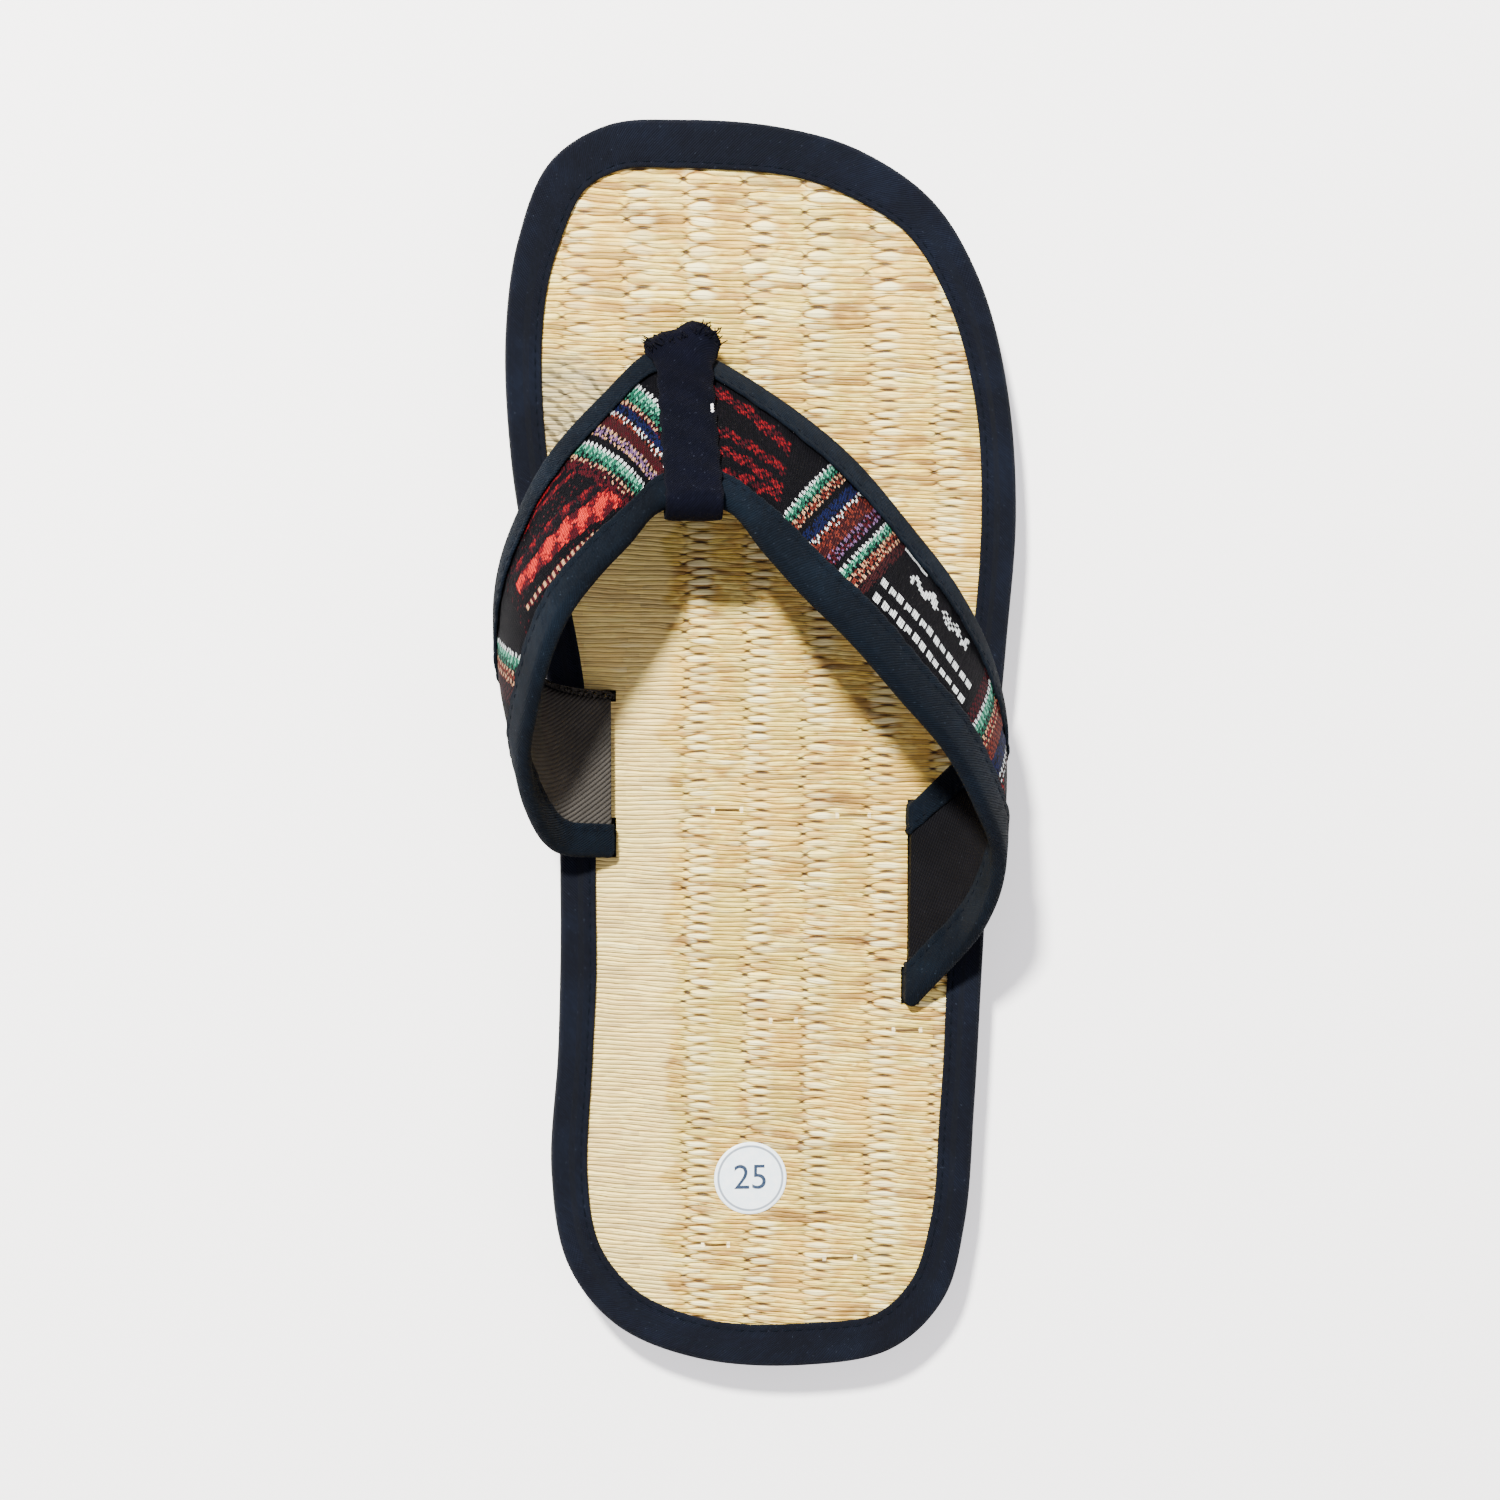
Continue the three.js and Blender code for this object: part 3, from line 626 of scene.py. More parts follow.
def makeRushTree():
    tree, into, out = newGroup("rushWeave", "GeometryNodeTree",
                               [("Geometry", "Geometry", None), ("Relief", "Float", 0.0003),
                                ("Material", "Material", None)],
                               [("Geometry", "Geometry")])
    position = addNode(tree, "GeometryNodeInputPosition")
    height = rushField(tree, position.outputs[0])["height"]
    broad = noiseAt(tree, position.outputs[0], 130.0, 2.0)
    lift = (height - 1.0) * into.outputs["Relief"] + (broad - 0.6) * 0.00028
    # only the upper side is lifted
    top = addNode(tree, "FunctionNodeCompare", data_type="FLOAT", operation="GREATER_THAN")
    plug(tree, top.inputs[0], splitVector(tree, position.outputs[0])[2])
    plug(tree, top.inputs[1], (matTop - 1.0) * mm)
    move = addNode(tree, "GeometryNodeSetPosition")
    plug(tree, move.inputs["Geometry"], into.outputs["Geometry"])
    plug(tree, move.inputs["Selection"], top.outputs[0])
    plug(tree, move.inputs["Offset"], joinVector(tree, None, None, lift))
    return finishGroup(tree, into, out, move)


def makeRushMaterial():
    material, tree, shader, place = newMaterial("rushStraw")
    field = rushField(tree, place.outputs["Object"])
    height, x, y, woven = field["height"], field["x"], field["y"], field["woven"]

    def streak(alongX, alongY, detail=3.0, roughness=0.55):
        return noiseAt(tree, joinVector(tree, x * alongX, y * alongY), 1.0, detail, roughness)

    flat = joinVector(tree, x, y)

    def distanceTo(middleX, middleY):
        node = addNode(tree, "ShaderNodeVectorMath", operation="DISTANCE")
        plug(tree, node.inputs[0], flat)
        node.inputs[1].default_value = (middleX, middleY, 0.0)
        return NodeValue(tree, node.outputs["Value"])

    # each stretch of a strand between two dips has its own tone
    own = whiteAt(tree, field["index"], field["stretch"], 0.0)
    strand = whiteAt(tree, field["index"], 0.0, 7.0)
    drift = streak(0.06, 0.16)
    patch = streak(0.11, 0.42, 2.0)
    # a few strands that lie together share a tone between two warps
    group = maths(tree, "FLOOR", field["index"] * 0.3 + whiteAt(tree, field["stretch"], 8.0) * 3.0)
    shared = whiteAt(tree, group, field["stretch"], 9.0)
    mix = own * 0.27 + strand * 0.1 + shared * 0.33
    mix = mix + spread(tree, patch, 0.3, 0.7) * 0.16 + spread(tree, drift, 0.3, 0.7) * 0.14
    mix = spread(tree, mix, 0.18, 0.82, 0.0, 1.0, False)
    ramp = addNode(tree, "ShaderNodeValToRGB")
    stops = [(0.0, (130, 98, 52)), (0.2, (168, 132, 70)), (0.32, (206, 168, 86)), (0.42, (252, 222, 112)),
             (0.5, (204, 168, 84)), (0.58, (255, 234, 140)), (0.66, (208, 166, 82)), (0.76, (190, 170, 92)),
             (0.86, (254, 228, 118)), (1.0, (255, 242, 184))]
    while len(ramp.color_ramp.elements) < len(stops):
        ramp.color_ramp.elements.new(0.5)
    for element, (where, colour) in zip(ramp.color_ramp.elements, stops):
        element.position = where
        element.color = inks(*colour)
    plug(tree, ramp.inputs[0], mix)
    # clouds over a few strands at a time, fibres along each strand, broad greenish and orange zones
    cloud = streak(0.085, 0.3, 2.0, 0.5)
    fibre = streak(0.14, 4.0, 3.0, 0.65)
    zone = streak(0.05, 0.035, 2.0)
    colour = ramp.outputs[0]
    for noise, low, high, most, ink in (
            (cloud, 0.53, 0.68, 0.45, (188, 154, 74)), (cloud, 0.46, 0.33, 0.55, (255, 243, 160)),
            (fibre, 0.46, 0.7, 0.65, (144, 112, 56)), (fibre, 0.44, 0.3, 0.6, (255, 245, 182)),
            (zone, 0.52, 0.66, 0.5, (234, 194, 98)), (zone, 0.48, 0.36, 0.45, (210, 194, 106))):
        colour = blendColour(tree, spread(tree, noise, low, high, 0.0, most), colour, inks(*ink))
    # now and then a brown stretch
    brown = maths(tree, "GREATER_THAN", whiteAt(tree, field["index"], field["stretch"], 3.0), 0.965) * 0.55
    colour = blendColour(tree, brown, colour, inks(126, 98, 60))
    # the short bulges over a warp catch the light, the inner side is paler
    gleam = maths(tree, "POWER", field["fromWarp"] / 2.7, 4.0)
    gleam = maths(tree, "EXPONENT", gleam * -1.0)
    bright = spread(tree, whiteAt(tree, field["index"], field["stretch"], 5.0), 0.0, 1.0, 0.05, 0.85)
    gleam = gleam * bright * woven
    gleam = gleam * spread(tree, height, 0.45, 1.0)
    colour = blendColour(tree, gleam, colour, inks(255, 249, 200))
    colour = blendColour(tree, spread(tree, woven, 0.3, 0.9, 0.5, 0.0), colour, inks(247, 230, 166))
    # painted shade: the low ground between strands is darkened
    creviceShade = spread(tree, height, 0.1, 0.75, 0.75, 0.0) * spread(tree, fibre, 0.3, 0.6, 0.5, 1.0)
    colour = blendColour(tree, creviceShade, colour, inks(128, 84, 34))
    # painted shade in the openings between strands
    colour = blendColour(tree, field["slit"] * 0.92, colour, inks(44, 28, 14))
    # a rubbed grey patch beside the strap
    spotX, spotY = rushMat["rubbed"]
    worn = spread(tree, distanceTo(spotX, spotY), 15.0, 7.0, 0.0, 0.9)
    rub = worn * spread(tree, streak(0.12, 0.9), 0.33, 0.56, 0.5, 1.0)
    colour = blendColour(tree, rub, colour, inks(170, 162, 134))
    # bruised strands curve across it
    swirl = maths(tree, "SINE", distanceTo(spotX - 10.0, spotY - 12.0) * 2.3 + streak(0.2, 0.5) * 7.0)
    colour = blendColour(tree, rub * spread(tree, swirl, 0.2, 0.9), colour, inks(84, 76, 58))
    # mends: a dark stroke between two pale ticks
    for markX, markY, half in rushMat["mends"]:
        dx = maths(tree, "ABSOLUTE", x - markX)
        dy = maths(tree, "ABSOLUTE", y - markY)
        stroke = maths(tree, "LESS_THAN", dx, half - 0.5) * maths(tree, "LESS_THAN", dy, 0.26)
        colour = blendColour(tree, stroke * 0.88, colour, inks(62, 38, 18))
        ends = maths(tree, "LESS_THAN", maths(tree, "ABSOLUTE", dx - half), 0.34)
        tick = ends * maths(tree, "LESS_THAN", dy, 0.62)
        colour = blendColour(tree, tick * 0.9, colour, inks(255, 240, 200))
    # sun-warmed all over
    colour = blendColour(tree, 1.0, colour, (1.0, 0.955, 0.81, 1.0), "MULTIPLY")
    grain = height + fibre * 0.45 - field["slit"] * 0.8
    finishMaterial(tree, shader, colour, spread(tree, fibre, 0.3, 0.7, 0.4, 0.6), 0.28,
                   bumpFrom(tree, grain, 0.0005, 0.9))
    return material


def insideLoop(px, py, loop):
    inside = np.zeros(px.shape, bool)
    for (x0, y0), (x1, y1) in zip(loop, np.roll(loop, -1, axis=0)):
        if y0 == y1:
            continue
        crosses = (y0 > py) != (y1 > py)
        inside ^= crosses & (px < (x1 - x0) * (py - y0) / (y1 - y0) + x0)
    return inside


def makeMat(slots):
    r = rushMat
    line, inward, _ = outlineLine(r["outlineSteps"])
    loop = line + inward * r["setBack"]
    x0, y0 = loop.min(0) - 1
    x1, y1 = loop.max(0) + 1
    xs = np.arange(x0, x1, r["stepX"])
    ys = np.arange(y0, y1, r["stepY"])
    cx, cy = np.meshgrid((xs[:-1] + xs[1:]) / 2, (ys[:-1] + ys[1:]) / 2, indexing="ij")
    keep = insideLoop(cx, cy, loop)
    for slot in slots:
        keep &= ~insideLoop(cx, cy, np.array(slot))
    cells = np.argwhere(keep)
    lines = len(ys)
    first = cells[:, 0] * lines + cells[:, 1]
    corners = np.stack([first, first + lines, first + lines + 1, first + 1], axis=1)
    used, faces = np.unique(corners, return_inverse=True)
    faces = faces.reshape(corners.shape)
    points = np.column_stack([xs[used // lines], ys[used % lines], np.full(len(used), matTop)])
    sheet = makePiece("rushSheet", points, faces.tolist(), None)
    work = bmesh.new()
    work.from_mesh(sheet.data)
    rim = [e for e in work.edges if e.is_boundary]
    grown = bmesh.ops.extrude_edge_only(work, edges=rim)["geom"]
    low = [v for v in grown if isinstance(v, bmesh.types.BMVert)]
    for v in low:
        v.co.z = (shoe["soleThickness"] + 0.05) * mm
    under = [e for e in grown if isinstance(e, bmesh.types.BMEdge) and e.is_boundary]
    bmesh.ops.triangle_fill(work, edges=under, use_beauty=False, normal=(0, 0, -1))
    bmesh.ops.recalc_face_normals(work, faces=work.faces)
    creaseOver(work, r["creaseOver"])
    work.to_mesh(sheet.data)
    work.free()
    material = makeRushMaterial()
    growNodes(sheet, makeRushTree(), Relief=r["relief"] * mm, Material=material)
    return flatten(sheet, "rushMat", material)


# strap form
strap = {
    "rise": 40.0, "wall": 3.2, "edgeWall": 1.8, "crown": 1.0, "rootUpright": 0.6,
    "tapeWidth": 7.0, "outerTapeGrowth": 2.2, "tapeWall": 0.65, "tapeGap": 0.12, "clothInset": 1.3,
    "cell": 0.4, "outerCells": 72, "liningCells": 16, "rubbedFrom": -75.0,
}


def makeStrapLine(step):
    # stations evenly spaced along the strap's middle, with a straight run down at each root
    front, rear = (
        [(x * shoe["ballWidth"] + shoe["middleShift"], y * shoe["length"], matTop + z * strap["rise"])
         for x, y, z in edge]
        for edge in ([row[:3] for row in strapRows], [row[3:] for row in strapRows]))
    fine = np.linspace(0, 1, 1201)
    middle = (smoothCurve(front, fine) + smoothCurve(rear, fine)) / 2
    far = lengths(middle)
    vPlace = far[600]
    count = int(round(far[-1] / step))
    shares = np.interp(np.linspace(0, far[-1], count + 1), far, fine)
    f, r = smoothCurve(front, shares), smoothCurve(rear, shares)
    ahead, behind = np.minimum(1, shares + 1e-4), np.maximum(0, shares - 1e-4)
    fWay, rWay = (unit(smoothCurve(edge, ahead) - smoothCurve(edge, behind)) for edge in (front, rear))
    fromRoot = np.minimum(shares, 1 - shares) * (len(strapRows) - 1)
    upright = strap["rootUpright"] * (1 - smoothStep(fromRoot, 0, 0.8))[:, None]
    up = np.where(shares < 0.5, 1.0, -1.0)[:, None] * np.array([0.0, 0.0, 1.0])
    fWay = fWay * (1 - upright) + up * upright
    rWay = rWay * (1 - upright) + up * upright
    along = np.linspace(0, far[-1], count + 1) - vPlace
    padding = np.minimum(1, fromRoot / 3)
    down = []
    for end, sign in ((0, -1), (-1, 1)):
        rows = []
        drop = f[end][2] - shoe["soleThickness"]
        for k in range(1, 7):
            w = k / 6
            a, b = f[end].copy(), r[end].copy()
            a[2] -= drop * w
            b[2] = shoe["soleThickness"] + (b[2] - shoe["soleThickness"]) * (1 - w)
            fw = fWay[end] * (1 - w) + up[end] * w
            rw = rWay[end] * (1 - w) + up[end] * w
            rows.append((a, b, fw, rw, along[end] + sign * drop * w, 0.0))
        down.append(rows[::-1] if end == 0 else rows)
    main = list(zip(f, r, fWay, rWay, along, padding))
    both = down[0] + main + down[1]
    return [np.array(part) for part in zip(*both)]


def strapSurface(line, fromFront, lift):
    # fromFront and lift: one value for each station, or one row of values for each
    f, r, fWay, rWay, _, padding = line
    width = np.linalg.norm(r - f, axis=1)[:, None]
    across = (r - f) / width
    share = np.clip(fromFront / width, 0, 1)[..., None]
    way = fWay[:, None, :] * (1 - share) + rWay[:, None, :] * share
    outward = unit(np.cross(across[:, None, :], way))
    crown = strap["crown"] * padding[:, None] * (1 - (2 * share[..., 0] - 1) ** 2)
    return f[:, None, :] + across[:, None, :] * fromFront[..., None] + outward * (lift + crown)[..., None]


def padHalf(share, padding):
    fill = np.sin(np.pi * np.clip(share, 0, 1)) ** 1.05
    return (strap["edgeWall"] + (strap["wall"] - strap["edgeWall"]) * fill * padding) / 2


strapLine = makeStrapLine(strap["cell"])
strapWide = np.linalg.norm(strapLine[1] - strapLine[0], axis=1)


# the woven cloth, charted cell by cell in distance along and across
# dyes of the cloth, and the bright orange red that paints the highlight on the red bands
dyes = {
    "ground": (4, 4, 7), "dusk": (11, 8, 13), "red": (116, 14, 21), "wine": (58, 9, 17),
    "ember": (188, 40, 30), "rust": (98, 38, 28), "brown": (46, 16, 18), "green": (26, 88, 68),
    "deepGreen": (9, 44, 37), "mint": (98, 164, 140), "white": (212, 218, 218), "blue": (11, 18, 54),
    "cream": (180, 138, 104), "lilac": (102, 76, 112),
}


def inBand(value, middle, width):
    return abs(value - middle) < width / 2


def checked(along, across, first, second, size=0.8):
    return first if (int(along / size) + int(across / size)) % 2 else second


def greenBand(depth, across, speck):
    # from its white dotted side to its dark green side, depth from 0 to 3.4
    if depth < 0.8:
        return "white" if (across / 1.5) % 1 < 0.6 else "ground"
    if depth < 1.6:
        return checked(depth, across, "mint", "green")
    if depth < 2.4:
        return checked(depth, across, "green", "mint" if speck > 0.5 else "deepGreen")
    return checked(depth, across, "green", "ground")


def dotBand(depth, across, first, second, speck):
    # rows of dots on black, each row half a step on
    row = int(depth / 0.8)
    if (across / 1.6 + row * 0.5) % 1 < 0.5:
        return first if (row % 2 == 0) == (speck > 0.12) else second
    return second if speck > 0.8 else "ground"


# bands of each limb: where each ends, its kind and its dyes
outerBands = [
    (29.6, "green"), (31.5, "dots", "cream", "rust"), (32.7, "gap"), (34.9, "solid", "blue", "ground"),
    (36.5, "dots", "white", "rust"), (39.2, "solid", "brown", "rust"), (41.4, "dots", "lilac", "wine"),
    (42.7, "gap"), (45.0, "green"), (47.4, "dots", "cream", "rust"), (49.4, "solid", "brown", "ground"),
]
innerBands = [
    (8.5, "green"), (9.6, "dots", "cream", "wine"), (11.4, "solid", "blue", "ground"),
    (12.8, "dots", "white", "rust"), (15.0, "solid", "brown", "wine"), (17.2, "dots", "cream", "lilac"),
    (18.6, "gap"), (21.9, "green"), (23.6, "dots", "cream", "wine"), (25.0, "solid", "wine", "ground"),
]


def bandColour(bands, start, place, across, speck):
    for end, kind, *threads in bands:
        if place < end:
            depth = place - start
            if kind == "green":
                return greenBand(depth * 3.4 / (end - start), across, speck)
            if kind == "dots":
                return dotBand(depth, across, threads[0], threads[1], speck)
            if kind == "solid":
                return threads[0] if speck > 0.28 else threads[1]
            return "ground"
        start = end
    return "ground"


def mottle(along, across, speck):
    return (0.5 + 0.24 * math.sin(1.7 * along + 0.9 * across)
            + 0.22 * math.sin(0.83 * along - 1.9 * across + 1.3) + 0.5 * (speck - 0.5))


def outerLimb(a, w, speck):
    slope = 0.375 - 0.0075 * (min(max(a, 28), 46) - 28) - 0.007 * (min(max(a, 46), 80) - 46)
    c = a + slope * (w - 18)
    if a < 24 and c < 27.0:
        if 4.5 < a < 22.5 and w > 7:
            for middle, slant, width in ((10.0, 0.08, 3.6), (20.3, -0.19, 2.6),
                                         (24.8, -0.2, 2.4), (30.0, -0.4, 2.2)):
                if inBand(w + 0.4 * math.sin(a * 1.1), middle + slant * (a - 6), width):
                    # painted highlight: where the mottle is high the band is red, where it is low wine and
                    # ground
                    lit = mottle(a * 0.8, w * 1.2, speck)
                    return checked(a, w, "wine" if lit < 0.5 else "red", "ground" if lit < 0.66 else "wine")
        return "dusk" if speck > 0.8 else "ground"
    if c < 27.0:
        return "ground"
    if c < 49.4:
        return bandColour(outerBands, 27.0, c, w, speck)
    if c < 79.5:
        for start, at, slant in ((49.6, 20.0, -0.107), (49.6, 24.1, -0.083)):
            if start < a < 77.8 and inBand(w, at + slant * (a - start), 1.7):
                return "white" if ((a - start) / 2.2) % 1 < 0.76 else "ground"
        if 51.5 < a < 58.5 and inBand(w, 7.2, 0.9):
            return "white"
        if 54.6 < a < 75.5:
            return figureColour(a - 54.6, w - (12.4 - 0.16 * (a - 54.6)))
        return "ground"
    if c < 81.8:
        return checked(c, w, "wine", "ground")
    if c < 85.4:
        return greenBand(c - 81.8, w, speck)
    if c < 87.4:
        return dotBand(c - 85.4, w, "cream", "red", speck)
    if c < 90.5:
        return checked(c, w, "rust", "brown")
    if c < 94:
        return "blue" if speck > 0.3 else "ground"
    if c < 96:
        return dotBand(c - 94, w, "white", "brown", speck)
    if c < 112:
        for middle in (12, 20, 28):
            if inBand(w + 0.5 * math.sin(a), middle, 2.6):
                return checked(a, w, "red" if speck > 0.5 else "wine", "ground")
    return "ground"


# a small stepped figure of the traditional kind, drawn in the rows below: columns run along the strap
figureRows = [
    "..#.....##.........#....#.",
    ".###...####...#.#.#.#..##.",
    "##.##.#####..#.#.#.###.#..",
    ".#..####.###..#.#.#.#.###.",
    ".....##...#....#.#....#.#.",
]


def figureColour(along, up):
    column, row = int(along / 0.75), int(round(up / 0.75)) + 2
    if 0 <= row < len(figureRows) and 0 <= column < len(figureRows[0]) and figureRows[row][column] == "#":
        return "white"
    return "ground"


def innerLimb(a, w, speck):
    c = a - 0.55 * (w - 18)
    if a > -5.2:
        return "ground"
    if c > -25.0:
        return bandColour(innerBands, 4.5, -c, w, speck) if c < -4.5 else "ground"
    if a > -54:
        for middle, slant, start in ((8.4, 0.17, 26.7), (11.8, 0.33, 27.5)):
            if a > -52.5 and inBand(w, middle + slant * (a + start), 0.9):
                # painted highlight along the thin lines: red where the mottle is high, wine where it is low
                return "red" if mottle(a, w, speck) > 0.45 else "wine"
        middle = 24.2 + 0.36 * (a + 24)
        width = 5.5 + 0.057 * (a + 23)
        # painted highlight: the two red bands below are bright orange red where this mottle is highest, then
        # red, then wine and dusk where it is lower
        lit = mottle(a * 0.6, w * 0.7, speck)
        if a > -50.8 and inBand(w, middle, width + 0.5 * math.sin(a * 0.9)):
            return "ember" if lit > 0.56 else ("red" if lit > 0.34 else "wine")
        if a > -50.8 and inBand(w, middle - 4.2, 2.4):
            return "red" if lit > 0.85 else ("wine" if lit > 0.6 else "dusk")
        if a > -50.8 and inBand(w, 28.6 + 0.31 * (a + 24.7), 1.2):
            return "cream" if (a / 1.5) % 1 < 0.5 else "wine"
        return "wine" if speck > 0.93 else "ground"
    c = a - 0.38 * (w - 18)
    if c > -60.3:
        return "ground"
    if c > -63.7:
        return greenBand(-c - 60.3, w, speck)
    if c > -66.4:
        return dotBand(-c - 63.7, w, "cream", "rust", speck)
    if c > -70.4:
        return checked(c, w, "brown", "ground")
    return "ground"


def clothColour(a, w, speck):
    return outerLimb(a, w, speck) if a >= 0 else innerLimb(a, w, speck)


def makeClothMaterial():
    material, tree, shader, place = newMaterial("patternedCloth")
    chart = addNode(tree, "ShaderNodeAttribute", attribute_name="clothChart")
    along, across, _ = splitVector(tree, place.outputs["UV"])

    def yarn(coordinate):
        return maths(tree, "ABSOLUTE", maths(tree, "SINE", (coordinate / 0.00055 + 0.0) * math.pi))

    weave = yarn(along) * yarn(across)
    wear = useGroup(tree, wearGroup, Vector=place.outputs["Object"])
    fuzz = noiseAt(tree, place.outputs["Object"], 1800.0, 3.0, 0.65)
    valley = spread(tree, weave, 0.0, 0.5, 0.75, 0.0)
    colour = blendColour(tree, valley, chart.outputs["Color"], inks(*dyes["ground"]))
    colour = blendColour(tree, spread(tree, fuzz, 0.5, 0.8, 0.0, 0.16), colour, inks(30, 26, 32))
    colour = blendColour(tree, NodeValue(tree, wear.outputs["Specks"]) * 0.08, colour, inks(130, 125, 120))
    finishMaterial(tree, shader, colour, 0.82, 0.05, bumpFrom(tree, weave + fuzz * 0.7, 0.00022, 0.9))
    return material


def makeLiningMaterial(name, deep, worn, valley):
    material, tree, shader, place = newMaterial(name)
    along, across, _ = splitVector(tree, place.outputs["UV"])
    twill = useGroup(tree, twillGroup, Along=along, Across=across, Pitch=0.0013)
    wear = useGroup(tree, wearGroup, Vector=place.outputs["Object"])
    colour = blendColour(tree, wear.outputs["Patches"], inks(*deep), inks(*worn))
    # painted shade: the twill's hollows take the darker valley ink
    hollow = spread(tree, twill.outputs["Height"], 0.1, 1.1, 0.8, 0.0)
    colour = blendColour(tree, hollow, colour, inks(*valley))
    specks = NodeValue(tree, wear.outputs["Specks"]) * 0.2
    colour = blendColour(tree, specks, colour, inks(*[v + 34 for v in worn]))
    finishMaterial(tree, shader, colour, 0.8, 0.08, bumpFrom(tree, twill.outputs["Height"], 0.0002))
    return material


def tapeReach(isRear, along):
    # the rear tape is wider on the outer limb
    growth = strap["outerTapeGrowth"] * smoothStep(along, 6, 24)
    return strap["tapeWidth"] + growth * isRear


# the inner root's lining and the front tape beside it are grey brown here
greyBrownMaterial = makeLiningMaterial("greyBrownLining", (50, 48, 45), (64, 61, 57), (42, 40, 37))


def makeStrap():
    s = strap
    line = strapLine
    along, padding = line[4], line[5]
    clothWide = strapWide - 2 * s["clothInset"]
    outer = np.linspace(0, 1, s["outerCells"] + 1)
    lining = np.linspace(1, 0, s["liningCells"] + 1)
    shares = np.concatenate([outer, lining])
    side = np.concatenate([np.ones(len(outer)), -np.ones(len(lining))])
    fromFront = s["clothInset"] + clothWide[:, None] * shares[None, :]
    half = padHalf(shares[None, :], padding[:, None])
    # puckers beside the sewn edges and soft dents in the pad
    growth = (tapeReach(True, along) - s["tapeWidth"])[:, None]
    fromTape = np.minimum(fromFront, strapWide[:, None] - fromFront - growth)
    nearEdge = np.exp(-((fromTape - 8.2) / 1.8) ** 2)
    pucker = 0.22 * ripple(along, 5, 5.2)[:, None] * nearEdge
    groove = -0.35 * np.exp(-((fromTape - 6.9) / 1.0) ** 2)
    dent = 0.3 * ripple(along, 9, 26)[:, None] * np.sin(np.pi * shares)[None, :]
    lift = side[None, :] * (half + (pucker + groove) * padding[:, None]) + dent * padding[:, None]
    rings = strapSurface(line, fromFront, lift)
    acrossUv = np.concatenate([outer * 38, 40 + (1 - lining) * 38, [80]]) * mm
    piece = sweep("patternedStrap", rings, makeClothMaterial(), (along - along[0]) * mm, acrossUv)
    piece.data.materials.append(makeLiningMaterial("twillLining", (6, 6, 9), (12, 12, 16), (2, 2, 4)))
    piece.data.materials.append(greyBrownMaterial)
    # chart the cloth: one colour for each cell
    rng = np.random.default_rng(21)
    around = rings.shape[1]
    cells = (rings.shape[0] - 1) * around
    kinds = np.zeros(len(piece.data.polygons), np.int32)
    colours = np.ones((len(piece.data.polygons), 4), np.float32)
    colours[:, :3] = inks(*dyes["ground"])[:3]
    table = {key: np.array(inks(*value)) for key, value in dyes.items()}
    specks = rng.random((rings.shape[0], around))
    tones = rng.uniform(0.78, 1.15, (rings.shape[0], around))
    for n in range(cells):
        i, k = divmod(n, around)
        if k < s["outerCells"]:
            colour = table[clothColour(along[i], fromFront[i, k], specks[i, k])].copy()
            colours[n] = colour
            colours[n, :3] *= tones[i, k]
        elif k > s["outerCells"]:
            # the inner root's lining is grey brown
            kinds[n] = 2 if along[i] < s["rubbedFrom"] + 2.5 * math.sin(k * 0.9) else 1
    kinds[cells:] = 1
    piece.data.polygons.foreach_set("material_index", kinds)
    layer = piece.data.color_attributes.new("clothChart", "FLOAT_COLOR", "CORNER")
    totals = np.zeros(len(piece.data.polygons), np.int32)
    piece.data.polygons.foreach_get("loop_total", totals)
    layer.data.foreach_set("color", np.repeat(colours, totals, axis=0).ravel())
    return piece


